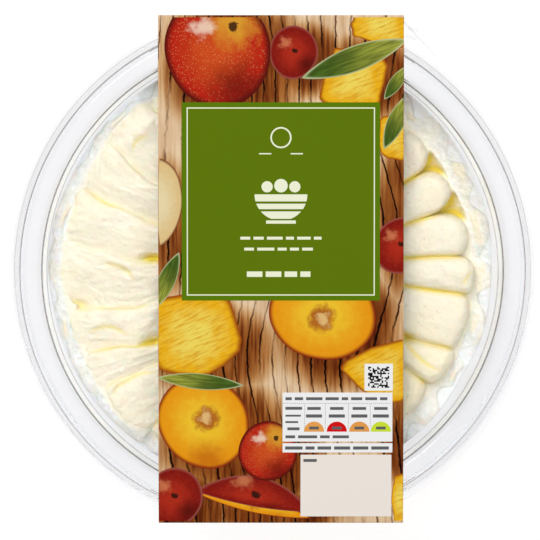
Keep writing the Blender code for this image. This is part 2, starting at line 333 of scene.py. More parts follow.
def clear_sheet(name, tint, ripple, gloss, rings=()):
    """Clear plastic sheet. Lamps shine through it, so it throws no hard shadow on the food. Any rings paint
    darker shade onto its tint.
    """
    made, tree, shader = new_material(
        name, tint, SHEET_ROUGHNESS, Transmission_Weight=1.0, IOR=SHEET_BEND, Coat_Weight=gloss,
        Coat_Roughness=SHEET_ROUGHNESS)
    if rings:
        join(shader, Base_Color=painted_ring_shade(tree, rings))
    waves = add_node(tree, "ShaderNodeGroup", node_tree=forming_ripple)
    waves.node.inputs["Size"].default_value = RIPPLE_SIZE
    join(shader, Normal=raised(tree, waves, ripple, RIPPLE_HEIGHT))
    shadow = add_node(tree, "ShaderNodeLightPath", out="Is Shadow Ray")
    passing = add_node(tree, "ShaderNodeBsdfTransparent", {"Color": (*tint, 1.0)})
    sheet = add_node(tree, "ShaderNodeMixShader", {"Fac": shadow, 1: shader.outputs["BSDF"], 2: passing})
    join(tree.nodes["Material Output"], Surface=sheet)
    return made


def make_bowl():
    half = BOWL_SHEET / 2
    low = bowl_low[2] + half
    heel = heel_arc(BASE_RADIUS, HEEL_RADIUS + half, low, HEEL_HEIGHT + half)
    rim = [
        (WALL_TOP_RADIUS + half, flange_top - half), (FLANGE_RADIUS, flange_top - half),
        (EDGE_RADIUS, flange_top - EDGE_DROP)]
    line = softened([(0.0, low)] + heel + rim, [HEEL_SOFTNESS] * len(heel) + list(RIM_SOFTNESS))
    plastic = clear_sheet("clear_bowl_plastic", BOWL_TINT, BOWL_RIPPLE, BOWL_GLOSS)
    bowl = add_piece("clear_bowl", *turned(sheet_outline(line, BOWL_SHEET)), plastic)
    fit(bowl, "clear_bowl_plastic", "bowl")


make_bowl()


# ---- Fruit in jelly ----
# The lowest layer: peach-coloured set jelly poured over diced fruit. Its side presses against
# the bowl's wall, where the dice lie flat against the plastic.
INTO_WALL = 0.0001
FRUIT_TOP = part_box("fruit_jelly")[1][2]
JELLY_COLOUR = (0.78, 0.23, 0.045)
JELLY_PALE = (0.9, 0.42, 0.12)
# Dice: name, colour, darker colour, count, size, seed and how far they press into the wall
DICE = (
    ("peach_dice", (0.93, 0.42, 0.07), (0.85, 0.25, 0.03), 46, 0.0062, 11, 0.00018),
    ("pineapple_dice", (0.95, 0.68, 0.16), (0.88, 0.5, 0.08), 34, 0.0054, 23, 0.00022),
    ("pear_dice", (0.93, 0.8, 0.52), (0.86, 0.66, 0.34), 30, 0.0058, 37, 0.00026),
)
# How far inside the wall the dice's middles lie, their tilts, their length, depth and height to their
# size, and their lumps' scale and height
DIE_INSIDE = (0.0008, 0.003)
DIE_TILTS = ((-0.5, 0.5), (-0.6, 0.6))
DIE_LENGTH = (0.8, 1.5)
DIE_DEPTH = 0.6
DIE_HEIGHT = 0.75
DIE_LUMPS = (330.0, 0.0022)

wall_foot = floor_height + HEEL_HEIGHT
WALL_SLOPE = (WALL_TOP_RADIUS - HEEL_RADIUS) / (flange_top - wall_foot)


def wall_inner(height):
    """Radius of the bowl's inner wall at this height, above the heel."""
    return HEEL_RADIUS + (height - wall_foot) * WALL_SLOPE


def mixed(tree, amount, below, above):
    """Colour mixed from below to above by amount."""
    below, above = (c if isinstance(c, bpy.types.NodeSocket) else (*c, 1.0) for c in (below, above))
    return add_node(tree, "ShaderNodeMix", {"Factor": amount, 6: below, 7: above}, 2, data_type="RGBA")


def mottled(name, colour, other, scale, roughness, bump=0.15, distance=0.0004, **plain):
    """Food with a soft uneven colour and a slightly uneven surface."""
    made, tree, shader = new_material(name, colour, roughness, **plain)
    patches = noise(tree, object_place(tree), scale, 3.0)
    join(shader, Base_Color=mixed(tree, ranged(tree, patches, 0.35, 0.65), colour, other),
         Normal=raised(tree, patches, bump, distance))
    return made


def new_tree(name, **sockets):
    """A geometry tree with named inputs, each given by its socket type."""
    tree = bpy.data.node_groups.new(name, "GeometryNodeTree")
    for way in ("OUTPUT", "INPUT"):
        tree.interface.new_socket("Geometry", in_out=way, socket_type="NodeSocketGeometry")
    for key, kind in sockets.items():
        tree.interface.new_socket(key.replace("_", " "), in_out="INPUT", socket_type="NodeSocket" + kind)
    return tree, add_node(tree, "NodeGroupInput").node.outputs


def close_tree(tree, geometry, finish):
    """Ends the tree: instances made real, smooth faces and the material."""
    real = add_node(tree, "GeometryNodeRealizeInstances", {"Geometry": geometry})
    smooth = add_node(tree, "GeometryNodeSetShadeSmooth", {"Geometry": real})
    painted = add_node(tree, "GeometryNodeSetMaterial", {"Geometry": smooth, "Material": finish})
    add_node(tree, "NodeGroupOutput", {"Geometry": painted})


def grown(name, tree, values):
    """The plain mesh piece that a geometry tree makes with these input values."""
    carrier = put(name + "_start", bpy.data.meshes.new(name + "_start"))
    nodes = carrier.modifiers.new("grow", "NODES")
    nodes.node_group = tree
    for item in tree.interface.items_tree:
        if item.in_out == "INPUT" and item.name in values:
            nodes[item.identifier] = values[item.name]
    bpy.context.view_layer.update()
    mesh = bpy.data.meshes.new_from_object(carrier.evaluated_get(bpy.context.evaluated_depsgraph_get()))
    mesh.name = name
    bpy.data.objects.remove(carrier)
    return put(name, mesh)


def calc(tree, operation, *values):
    """The result of a Math node on plain values or outputs."""
    return add_node(tree, "ShaderNodeMath", dict(enumerate(values)), operation=operation)


def vector_calc(tree, operation, *values, out=0):
    return add_node(tree, "ShaderNodeVectorMath", dict(enumerate(values)), out, operation=operation)


def combine(tree, x, y, z):
    return add_node(tree, "ShaderNodeCombineXYZ", {"X": x, "Y": y, "Z": z})


def separate(tree, place):
    return add_node(tree, "ShaderNodeSeparateXYZ", {0: place}).node.outputs


def wall_at(tree, height):
    """wall_inner as nodes."""
    return calc(tree, "MULTIPLY_ADD", calc(tree, "SUBTRACT", height, wall_foot), WALL_SLOPE, HEEL_RADIUS)


def dice_tree():
    """Rounded dice of fruit just inside the wall, each pressed flat where it meets the plastic."""
    tree, given = new_tree(
        "diced_fruit", Count="Int", Seed="Int", Size="Float", Lowest="Float", Highest="Float",
        Into_Wall="Float", Finish="Material")
    limits = [(0.0, 2 * math.pi), (given["Lowest"], given["Highest"]), DIE_INSIDE, *DIE_TILTS, DIE_LENGTH]
    angle, height, inside, roll, pitch, length = (
        add_node(tree, "FunctionNodeRandomValue", {
            "Min": low, "Max": high, "Seed": calc(tree, "ADD", given["Seed"], float(step))}, "Value")
        for step, (low, high) in enumerate(limits))
    radius = calc(tree, "SUBTRACT", wall_at(tree, height), inside)
    x, y = (calc(tree, "MULTIPLY", radius, calc(tree, way, angle)) for way in ("COSINE", "SINE"))
    points = add_node(tree, "GeometryNodePoints", {"Count": given["Count"]})
    placed = add_node(tree, "GeometryNodeSetPosition", {
        "Geometry": points, "Position": combine(tree, x, y, height)})
    cube = add_node(tree, "GeometryNodeMeshCube", {
        "Size": (2.0, 2.0, 2.0), "Vertices X": 3, "Vertices Y": 3, "Vertices Z": 3})
    size = combine(tree, *(
        calc(tree, "MULTIPLY", given["Size"], share) for share in (DIE_DEPTH, length, DIE_HEIGHT)))
    dice = add_node(tree, "GeometryNodeInstanceOnPoints", {
        "Points": placed, "Instance": cube, "Rotation": combine(tree, roll, pitch, angle), "Scale": size})
    real = add_node(tree, "GeometryNodeRealizeInstances", {"Geometry": dice})
    rounded = add_node(tree, "GeometryNodeSubdivisionSurface", {"Mesh": real, "Level": 2})
    scale, depth = DIE_LUMPS
    place = add_node(tree, "GeometryNodeInputPosition")
    lumps = noise(tree, place, scale, 1.0).node.outputs["Color"]
    shift = vector_calc(tree, "SUBTRACT", lumps, (0.5, 0.5, 0.5))
    shift = add_node(tree, "ShaderNodeVectorMath", {0: shift, "Scale": depth}, operation="SCALE")
    uneven = add_node(tree, "GeometryNodeSetPosition", {"Geometry": rounded, "Offset": shift})
    x, y, z = separate(tree, place)
    reach = vector_calc(tree, "LENGTH", combine(tree, x, y, 0.0), out="Value")
    lowest = calc(tree, "MAXIMUM", z, wall_foot)
    limit = calc(tree, "ADD", wall_at(tree, lowest), given["Into Wall"])
    share = calc(tree, "DIVIDE", calc(tree, "MINIMUM", reach, limit), reach)
    pressed = combine(tree, calc(tree, "MULTIPLY", x, share), calc(tree, "MULTIPLY", y, share), lowest)
    final = add_node(tree, "GeometryNodeSetPosition", {"Geometry": uneven, "Position": pressed})
    close_tree(tree, final, given["Finish"])
    return tree


def make_fruit_jelly():
    jelly = mottled("peach_jelly", JELLY_COLOUR, JELLY_PALE, 90.0, 0.12, Subsurface_Weight=0.25,
                    Subsurface_Scale=0.004)
    low = floor_height - INTO_WALL
    heel = heel_arc(BASE_RADIUS - BOWL_SHEET, HEEL_RADIUS + INTO_WALL, low, HEEL_HEIGHT + INTO_WALL)
    outline = [(0.0, low)] + heel + [(wall_inner(FRUIT_TOP) + INTO_WALL, FRUIT_TOP), (0.0, FRUIT_TOP)]
    fit(add_piece("fruit_jelly_layer", *turned(outline), jelly), "fruit_jelly", "fruit_jelly")
    tree = dice_tree()
    for name, colour, darker, count, size, seed, into_wall in DICE:
        finish = mottled(name + "_flesh", colour, darker, 420.0, 0.22, Subsurface_Weight=0.2,
                         Subsurface_Scale=0.003)
        fit(grown(name, tree, {
            "Count": count, "Seed": seed, "Size": size / 2, "Lowest": wall_foot + size * 0.3,
            "Highest": FRUIT_TOP - size * 0.45, "Into Wall": into_wall, "Finish": finish}), "fruit_jelly")


make_fruit_jelly()


# ---- Custard ----
# A smooth golden layer over the jelly. Its lower edge runs unevenly where it sank in, and it
# shows from above in the deep gaps between the strokes of cream.
CUSTARD_LOW, CUSTARD_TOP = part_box("custard")[0][2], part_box("custard")[1][2]
CUSTARD_COLOUR = (0.92, 0.55, 0.07)
CUSTARD_DEEP = (0.86, 0.42, 0.03)
CUSTARD_SUNK = 0.0006
CUSTARD_WAVE = 0.0007
CUSTARD_ROWS = (0.02, 0.35, 0.7, 1.0)
CUSTARD_TUCK = 0.0004
CUSTARD_CROWN = (0.001, 0.0002)
CUSTARD_INTO_WALL = INTO_WALL + 0.0002
WAVE_COUNTS = (3, 5, 8, 13, 21, 34)


def edge_wave(angles, size, seed):
    """An uneven line round the wall, made of a few waves of different lengths."""
    chance = np.random.default_rng(seed)
    wave = np.zeros_like(angles)
    for count in WAVE_COUNTS:
        wave += np.sin(count * angles + chance.uniform(0, 2 * math.pi)) / count ** 0.7
    return size * wave / 1.2


def make_custard():
    """The custard's rows of points run from the axis below, out and up the wall and back to the axis."""
    gold = mottled("golden_custard", CUSTARD_COLOUR, CUSTARD_DEEP, 60.0, 0.28, bump=0.1,
                   Subsurface_Weight=0.3, Subsurface_Scale=0.004)
    low = CUSTARD_LOW - CUSTARD_SUNK
    edge = low + edge_wave(turn_angles, CUSTARD_WAVE, 5)
    rows = [(BASE_RADIUS, low), (wall_inner(edge) - CUSTARD_TUCK, edge)]
    for share in CUSTARD_ROWS:
        height = edge + (CUSTARD_TOP - edge) * share
        rows.append((wall_inner(height) + CUSTARD_INTO_WALL, height))
    inside, rise = CUSTARD_CROWN
    crown = CUSTARD_TOP + rise
    rows.append((wall_inner(CUSTARD_TOP) - inside, crown))
    points = [ring_points(radius, turn_angles, height) for radius, height in rows]
    points = np.concatenate([[[0.0, 0.0, low]], *points, [[0.0, 0.0, crown]]])
    fit(add_piece("custard_layer", points, ring_faces(TURN_STEPS, len(rows)), gold), "custard", "custard")


make_custard()


# ---- Whipped cream ----
# Soft cream laid over the custard in radial strokes from the middle. On the right the strokes
# stay separate, flat-topped and blunt-ended, with the custard showing between their ends. On the
# left they are smeared broad and overlap like shingles. A thin film is left up the bowl's wall.
CREAM_FOOT = 0.0486
CREAM_CROWN = 0.0554
CREAM_CENTRE = 0.0535
STROKE_COLUMNS = 38
TONGUE_ROWS = 42
ROW_CROWDING = 0.6
END_ROWS = 14
GAP_ROWS = 10
FILM_ROWS = 26
EDGE_ROUND = 0.0023
EDGE_DROP_HEIGHT = 0.0019
END_ROUND = 0.0038
SMEARED_END_ROUND = 0.0075
SMEARED_LIFT = 0.0058
END_SHAPE = 2.1
GAP_FLOOR = 0.0447
SHINGLE_FRONT = 0.002
SHINGLE_DROP = 0.002
STROKE_INNER = 0.01
STROKE_MIDDLE = 0.042
STROKE_OUTER = 0.064
CROWN_UNEVEN = 0.0005
TONGUE_DISH = 0.001
STREAK_HEIGHT = 0.00009
# Waves in the strokes' ends: how far each moves on from stroke to stroke and across one, its share, seed
TIP_WAVES = ((5.1, 1.9, 1.0, 41), (9.1, 5.3, 0.5, 42))
# How uneven the ends are, how far the strokes sway and how wide their creases are: on plain strokes,
# and what smeared ones add or take off
TIP_UNEVEN = (0.0003, 0.0007)
WOBBLE = (0.006, 0.034)
CREASE_WIDTH = (0.0008, 0.0003)
# A gap between two ends is painted gold, for the custard that shows there and as shade, as its depth,
# and then how far the ends draw back there, grow from the first value to the second
GOLD_GAP = (0.0045, 0.006)
GOLD_DEPTH = (0.0002, 0.0016)
# Pits in the grooves, painted gold as shade: half length, half width and depth
PIT_LENGTH, PIT_WIDTH, PIT_DEPTH = 0.003, 0.0012, 0.0026
# Reliefs: bumps to the metre and seed
BROAD_SWAY, FINE_SWAY, LAP_SWAY = (65, 1), (210, 2), (170, 33)
CURL_OUT, CURL_ALONG = (260, 31), (240, 32)
FROTH, FINE_FROTH, FOLDS = (520, 9), (1100, 12), (220, 13)
# Lumps: bumps to the metre, seed, height, and how much of it plain strokes have and smeared ones add
LUMPS = ((130, 7, 0.00045, 0.5, 1.1), (330, 10, 0.00018, 1.0, 0.8), (900, 14, 0.000072, 1.0, 1.0))
# Painted glow: strokes round this angle (degrees), over this spread, get this much more gold, for light
# through the cream in shade
WARM_ANGLE = -48.0
WARM_SPREAD = 22.0
WARM_AMOUNT = 0.16
CREAM_PALE = (0.893, 0.812, 0.612)
CREAM_WARM = (0.885, 0.768, 0.505)
# Gold painted as shade into creases, pits and under laps, and into gaps for the custard and shade
CREAM_SHADE_GOLD = (0.89, 0.7, 0.04)
CREAM_SMEAR = (0.832, 0.834, 0.78)
CREAM_THIN = (0.715, 0.72, 0.66)
CREAM_WISP_HIGHLIGHT = (0.96, 0.965, 0.94)
CREAM_BARE_WALL_LIGHT = (0.85, 0.87, 0.858)
CREAM_EDGE_SHADE = (0.56, 0.565, 0.49)
CREAM_SPECK = (0.48, 0.33, 0.14)
SPECK_SCALE = 560.0
SPECK_SIZE = 0.135
# How strong the specks are on the left and on the right, and how far from the middle that is reached
SPECK_AMOUNTS = (0.22, 0.62)
SPECK_TURN = 0.02

# Angle of the groove that starts each stroke at the wall and the same groove's angle further in,
# anticlockwise from +X, then in mm how far out the stroke reaches, where its groove opens into a pit,
# and how deep the gap between the ends is there.
RIGHT_STROKES = [
    (-49.0, -50.0, 62.6, 0.0, 3.5), (-36.5, -36.8, 64.0, 0.0, 3.2), (-23.1, -28.0, 63.8, 46.5, 1.8),
    (-7.6, -6.8, 63.8, 0.0, 2.4), (3.7, 5.2, 62.6, 0.0, 4.4), (18.7, 18.9, 61.8, 0.0, 9.5),
    (32.6, 34.0, 61.6, 0.0, 7.0),
]
LEFT_STROKES = [
    (126.4, 127.0, 66.2, 0.0, 1.0), (141.0, 142.0, 65.2, 0.0, 0.8), (156.7, 158.8, 65.4, 0.0, 1.2),
    (171.2, 175.0, 66.0, 37.5, 1.0), (188.9, 195.0, 64.8, 63.0, 2.6), (204.2, 211.0, 65.0, 44.0, 1.0),
    (217.1, 218.5, 66.4, 36.0, 1.4),
]
# Even strokes under the band: angle of the first, how many, reach in mm, then their gap and smear
BACK_STROKES = (47.5, 6, 64.5)
FRONT_STROKES = (232.0, 6, 64.5)
HIDDEN_GAP = 3.5
HIDDEN_SMEAR = 0.4

# How high the film of cream reaches up the wall (mm), by angle, and how far in it draws back between
# the right-hand strokes
FILM_TOP = [
    (-60, 49.5), (-43, 50.0), (-30, 48.0), (-18, 50.5), (0, 49.0), (12, 51.5), (27, 51.5), (50, 52.5),
    (90, 51.0), (125, 52.0), (138, 52.5), (146, 51.5), (155, 51.5), (165, 54.0), (178, 55.0), (190, 52.5),
    (215, 52.0), (240, 50.0), (300, 49.5)]
FILM_COVE = 0.0652
# Tatters of its edge: length along the wall in mm, size and seed
FILM_TATTERS = ((7.0, 0.0009, 21), (3.0, 0.0007, 22), (1.3, 0.0002, 23))
# Heights of the film's froth, folds and curls, width of the painted line of shade round its edge, how far
# its sheet reaches above the edge, and how far out of the strokes' ends it starts
FILM_FROTH = 0.0001
FILM_FOLDS = 0.00018
FILM_CURLS = 0.0007
FILM_LINE = 0.0003
FILM_RIM = 0.0012
FILM_START = 0.0006
# The cream's side against the wall: its lower edge, the rows of points up it, how far it presses in
CREAM_WAVE = 0.0005
CREAM_SUNK = 0.0008
CREAM_TUCK = (0.002, 0.0003)
CREAM_ROWS = (0.35, 0.7, 0.93, 1.0)
CREAM_INTO_WALL = INTO_WALL + 0.00028
CREAM_BOTTOM = CUSTARD_TOP - 0.0012
# Curls of cream left on the wall: angle, distance from the middle, half length along it, half width
WALL_CURLS = [
    (29.0, 66.8, 4.8, 1.3), (11.5, 66.2, 5.0, 1.2), (-2.5, 65.2, 5.2, 2.0), (-15.0, 65.8, 3.0, 0.9),
    (-31.0, 66.0, 1.8, 0.7), (48.0, 65.0, 3.4, 1.4), (136.0, 67.2, 3.0, 0.9), (165.0, 67.6, 3.4, 0.8),
    (196.0, 67.4, 3.0, 0.8)]
# Short laps where one lick of cream lies on the next: start and end in mm with the upper lick on the
# left, how high it stands and how far its edge bows out
CREAM_LAPS = [
    (52.0, -31.0, 40.0, -22.4, 0.9, 0.8), (60.2, -4.6, 62.4, -1.0, 0.5, 0.6),
    (-52.6, 2.0, -43.5, -2.2, 0.6, 2.2), (-49.2, -40.0, -36.8, -31.4, 0.9, 1.2),
    (-43.4, 38.8, -38.6, 42.6, 0.6, 2.0), (-57.5, -17.6, -46.0, -19.8, 0.45, 2.2)]
LAP_EDGE = 0.0011
LAP_FADE = 0.0075
LAP_UNEVEN = 0.0011
LAP_UNDERCUT = 0.35
# Gold painted as shade along the foot of each lap's edge
LAP_GOLD = 0.55


def even_strokes(first, count, reach, last):
    step = (last - first) / count
    return [(first + step * index, first + step * index, reach, 0.0, HIDDEN_GAP) for index in range(count)]


def stroke_table():
    """Each stroke's groove at the wall and further in, its reach, pit and gap, and how smeared it is."""
    rows = [(*stroke, 0.0) for stroke in RIGHT_STROKES]
    rows += [(*stroke, HIDDEN_SMEAR) for stroke in even_strokes(*BACK_STROKES, LEFT_STROKES[0][0])]
    rows += [(*stroke, 1.0) for stroke in LEFT_STROKES]
    rows += [(*stroke, HIDDEN_SMEAR) for stroke in even_strokes(*FRONT_STROKES, RIGHT_STROKES[0][0] + 360.0)]
    table = np.array(rows)
    table[:, :2] = np.radians(table[:, :2])
    table[:, 2:5] /= 1000
    return table


def soft_noise(x, y, seed):
    """Smooth random heights between -1 and 1 over a plane, one bump to each unit."""
    grid = np.random.default_rng(seed).uniform(-1, 1, (128, 128))
    x0, y0 = np.floor(x).astype(int), np.floor(y).astype(int)
    fx, fy = x - x0, y - y0
    fx, fy = fx * fx * (3 - 2 * fx), fy * fy * (3 - 2 * fy)
    a, b = grid[x0 % 128, y0 % 128], grid[(x0 + 1) % 128, y0 % 128]
    c, d = grid[x0 % 128, (y0 + 1) % 128], grid[(x0 + 1) % 128, (y0 + 1) % 128]
    return (a * (1 - fx) + b * fx) * (1 - fy) + (c * (1 - fx) + d * fx) * fy


def relief(x, y, scale, seed):
    """Soft noise with this many bumps to the metre."""
    return soft_noise(x * scale, y * scale, seed)


def smooth_step(low, high, value):
    t = np.clip((value - low) / (high - low), 0, 1)
    return t * t * (3 - 2 * t)


def bulge(distance, width):
    """A quarter round: 0 at the edge, 1 from this distance on."""
    return np.sqrt(1 - (1 - np.clip(distance / width, 0, 1)) ** 2)


class StrokeColumns:
    """The columns of the cream's surface. They run along the strokes, closest beside the grooves."""

    def __init__(self):
        table = stroke_table()
        share = np.arange(STROKE_COLUMNS) * 2 / STROKE_COLUMNS - 1
        side = 0.5 * share + 0.5 * np.sin(math.pi / 2 * share)
        self.index = np.repeat(np.arange(len(table)), STROKE_COLUMNS)
        self.side = np.tile(side, len(table))
        self.outer = np.append(table[:, 0], table[0, 0] + 2 * math.pi)
        self.inner = np.append(table[:, 1], table[0, 1] + 2 * math.pi)
        self.pits = np.append(table[:, 3], table[0, 3])
        gaps = np.append(table[:, 4], table[0, 4])
        smeared = table[:, 5]
        before, after = np.roll(smeared, 1), np.roll(smeared, -1)
        blend = np.where(self.side < 0, before[self.index], after[self.index])
        self.smeared = smeared[self.index] + (blend - smeared[self.index]) * 0.5 * np.abs(self.side) ** 4
        far = np.abs(self.side)
        reach = table[self.index, 2]
        beside = [np.roll(table[:, 2], shift)[self.index] for shift in (1, -1)]
        beside = np.where(self.side < 0, *beside)
        between = (reach + beside) / 2
        self.reach = reach + (between - reach) * far ** 2
        gap = gaps[self.index + (self.side > 0)]
        self.tip = reach - (reach - between + gap) * (1 - (1 - far ** END_SHAPE) ** (1 / END_SHAPE))
        self.tip = np.minimum(self.tip, self.reach)
        uneven = 0.0
        for by_stroke, by_side, share, seed in TIP_WAVES:
            uneven += share * soft_noise(self.index * by_stroke + self.side * by_side, self.side * 0, seed)
        self.tip = self.tip + uneven * (TIP_UNEVEN[0] + TIP_UNEVEN[1] * self.smeared)
        self.golden = smooth_step(*GOLD_GAP, gap) * smooth_step(*GOLD_DEPTH, self.reach - self.tip)
        self.end_round = END_ROUND + (SMEARED_END_ROUND - END_ROUND) * self.smeared
        self.foot = CREAM_FOOT + SMEARED_LIFT * self.smeared

    def angle(self, radius):
        blend = np.clip((radius - STROKE_MIDDLE) / (STROKE_OUTER - STROKE_MIDDLE), 0, 1)
        start = self.inner[self.index] + (self.outer - self.inner)[self.index] * blend
        end = self.inner[self.index + 1] + (self.outer - self.inner)[self.index + 1] * blend
        self.width = (end - start) * radius
        return start + (self.side + 1) / 2 * (end - start)

    def wobble(self, x, y, radius):
        size = (WOBBLE[0] + WOBBLE[1] * self.smeared) * smooth_step(0.012, 0.05, radius)
        return size * (relief(x, y, *BROAD_SWAY) + 0.35 * relief(x, y, *FINE_SWAY))

    def groove_pits(self, radius, to_groove):
        """How much of a pit there is here: the groove on this column's side opens out at its pit."""
        pit = self.pits[self.index + (self.side > 0)]
        along = np.exp(-((radius - pit) / PIT_LENGTH) ** 2) * (pit > 0)
        return along * np.exp(-(to_groove / PIT_WIDTH) ** 2)

    def top(self, radius):
        """The strokes' top surface at this distance from the middle: angle, height, and gold painted as shade
        in creases, pits and laps.
        """
        angle = self.angle(radius)
        x, y = radius * np.cos(angle), radius * np.sin(angle)
        spread = smooth_step(STROKE_INNER, STROKE_MIDDLE, radius)
        to_groove = (1 - np.abs(self.side)) * self.width / 2
        from_start = (self.side + 1) / 2 * self.width
        tone = soft_noise(self.index * 3.7 + 0.5, self.index * 1.3 + 0.5, 4)
        crown = CREAM_CENTRE + (CREAM_CROWN - CREAM_CENTRE) * spread + CROWN_UNEVEN * tone
        slope = (1 - np.clip(to_groove / EDGE_ROUND, 0, 1)) ** 2
        tongue = EDGE_DROP_HEIGHT * (0.4 * (1 - bulge(to_groove, EDGE_ROUND)) + 0.6 * slope)
        tongue += TONGUE_DISH * self.side ** 2
        down = np.clip((from_start - SHINGLE_FRONT) / (self.width - SHINGLE_FRONT), 0, 1) ** 2.0
        shingle = SHINGLE_DROP * (1 - bulge(from_start, SHINGLE_FRONT) + down)
        height = crown - spread * (tongue * (1 - self.smeared) + shingle * self.smeared)
        streak = soft_noise(self.side * 7 + self.index * 7.3, radius * 50, 5)
        streak += 0.7 * soft_noise(self.side * 17, radius * 80, 6)
        height += STREAK_HEIGHT * streak * spread * (0.4 + self.smeared)
        for scale, seed, size, plain, more in LUMPS:
            height += size * relief(x, y, scale, seed) * spread * (plain + more * self.smeared)
        pits = self.groove_pits(radius, to_groove)
        lap, lap_gold = laps(x, y)
        height += lap * spread - PIT_DEPTH * pits
        # Painted shade: gold along the creases, in the pits and under the laps, and a warmer glow round
        # WARM_ANGLE
        patchy = 0.55 + 0.45 * soft_noise(x * 140 + 9, y * 140, 11)
        crease = np.exp(-(to_groove / (CREASE_WIDTH[0] - CREASE_WIDTH[1] * self.smeared)) ** 2) * spread
        broken = smooth_step(-0.2, 0.7, soft_noise(x * 95 + 3, y * 95, 15))
        gold = crease * (patchy * (1 - self.smeared) + 0.6 * broken * self.smeared) + 1.2 * pits + lap_gold
        shaded = (np.degrees(angle) + 180) % 360 - 180
        gold += WARM_AMOUNT * np.exp(-((shaded - WARM_ANGLE) / WARM_SPREAD) ** 2) * spread
        return angle + self.wobble(x, y, radius), height, gold


def film_top(angle):
    """Height that the cream's film reaches on the wall."""
    degrees = [a for a, _ in FILM_TOP]
    return np.interp(np.degrees(angle), degrees, [z / 1000 for _, z in FILM_TOP], period=360)


def film_edge(angle, side, smeared):
    """Distance from the middle of the film's uneven outer edge. It draws back between the strokes."""
    along = (angle % (2 * math.pi)) * 67.0
    edge = wall_inner(film_top(angle))
    edge -= (edge - FILM_COVE) * (1 - smeared) * smooth_step(0.35, 0.95, np.abs(side))
    for length, size, seed in FILM_TATTERS:
        edge += size * soft_noise(along / length, along * 0, seed)
    return edge


def curl_height(x, y):
    """Curls of cream pressed against the wall at the ends of the strokes."""
    height = np.zeros_like(x)
    for angle, distance, length, width in WALL_CURLS:
        turn = math.radians(angle)
        out = (x * math.cos(turn) + y * math.sin(turn)) * 1000 - distance
        along = (y * math.cos(turn) - x * math.sin(turn)) * 1000
        out += along ** 2 / 130 + 0.9 * relief(x, y, *CURL_OUT)
        along += 1.4 * relief(x, y, *CURL_ALONG)
        height = np.maximum(height, np.exp(-(out / width) ** 4 - (along / length) ** 4))
    return height


def laps(x, y):
    """Height and painted gold shade that the short laps add. Each fades out at its ends and away from its
    edge.
    """
    height, gold = np.zeros_like(x), np.zeros_like(x)
    for x0, y0, x1, y1, step, bow in CREAM_LAPS:
        length = math.hypot(x1 - x0, y1 - y0)
        run_x, run_y = (x1 - x0) / length, (y1 - y0) / length
        along = ((x * 1000 - x0) * run_x + (y * 1000 - y0) * run_y) / length
        out = ((y * 1000 - y0) * run_x - (x * 1000 - x0) * run_y) / 1000
        out = out + LAP_UNEVEN * relief(x, y, *LAP_SWAY) - bow / 1000 * (1 - (2 * along - 1) ** 2)
        there = smooth_step(-0.15, 0.2, along) * (1 - smooth_step(0.7, 1.15, along))
        upper = bulge(out, LAP_EDGE) * np.exp(-(np.clip(out, 0, None) / LAP_FADE) ** 2)
        lower = LAP_UNDERCUT * np.exp(-(out / LAP_EDGE) ** 2)
        height += step / 1000 * there * (upper - lower)
        gold += LAP_GOLD * there * np.exp(-((out + 0.0002) / 0.0006) ** 2)
    return height, gold


def cream_finish():
    made, tree, shader = new_material(
        "whipped_cream", CREAM_PALE, 0.42, Subsurface_Weight=0.3, Subsurface_Scale=0.002)
    place = object_place(tree)
    warm = ranged(tree, noise(tree, place, 70.0, 3.0), 0.45, 0.8, 0.0, 0.45)
    colour = mixed(tree, warm, CREAM_PALE, CREAM_WARM)
    dots = add_node(tree, "ShaderNodeTexVoronoi", {"Vector": place, "Scale": SPECK_SCALE}, "Distance")
    chosen = add_node(tree, "ShaderNodeSeparateColor", {"Color": dots.node.outputs["Color"]})
    amount = ranged(tree, separate(tree, place)[0], -SPECK_TURN, SPECK_TURN, *SPECK_AMOUNTS)
    speck = calc(tree, "MULTIPLY", calc(tree, "LESS_THAN", dots, SPECK_SIZE),
                 calc(tree, "GREATER_THAN", chosen, 0.5))
    colour = mixed(tree, calc(tree, "MULTIPLY", speck, amount), colour, CREAM_SPECK)
    froth = ranged(tree, noise(tree, place, 420.0, 4.0, Roughness=0.65), 0.52, 0.38)
    # White wisps in the film: froth, with painted highlights
    wisp_highlights = noise(tree, place, 230.0, 6.0, Roughness=0.7, Distortion=1.2)
    film = mixed(tree, froth, CREAM_SMEAR, CREAM_THIN)
    film = mixed(tree, ranged(tree, wisp_highlights, 0.53, 0.62, 0.0, 0.85), film, CREAM_WISP_HIGHLIGHT)
    # Painted over the cream's own colour by attributes: the film, the pale tone of the lit clear wall, a line
    # of shade and gold shade
    tints = {"smear": film, "bare": CREAM_BARE_WALL_LIGHT, "edge_shade": CREAM_EDGE_SHADE, "gold": CREAM_SHADE_GOLD}
    for name, tint in tints.items():
        amount = add_node(tree, "ShaderNodeAttribute", out="Fac", attribute_name=name)
        colour = mixed(tree, amount, colour, tint)
    join(shader, Base_Color=colour, Normal=raised(tree, noise(tree, place, 480.0, 5.0), 0.7, 0.001))
    return made


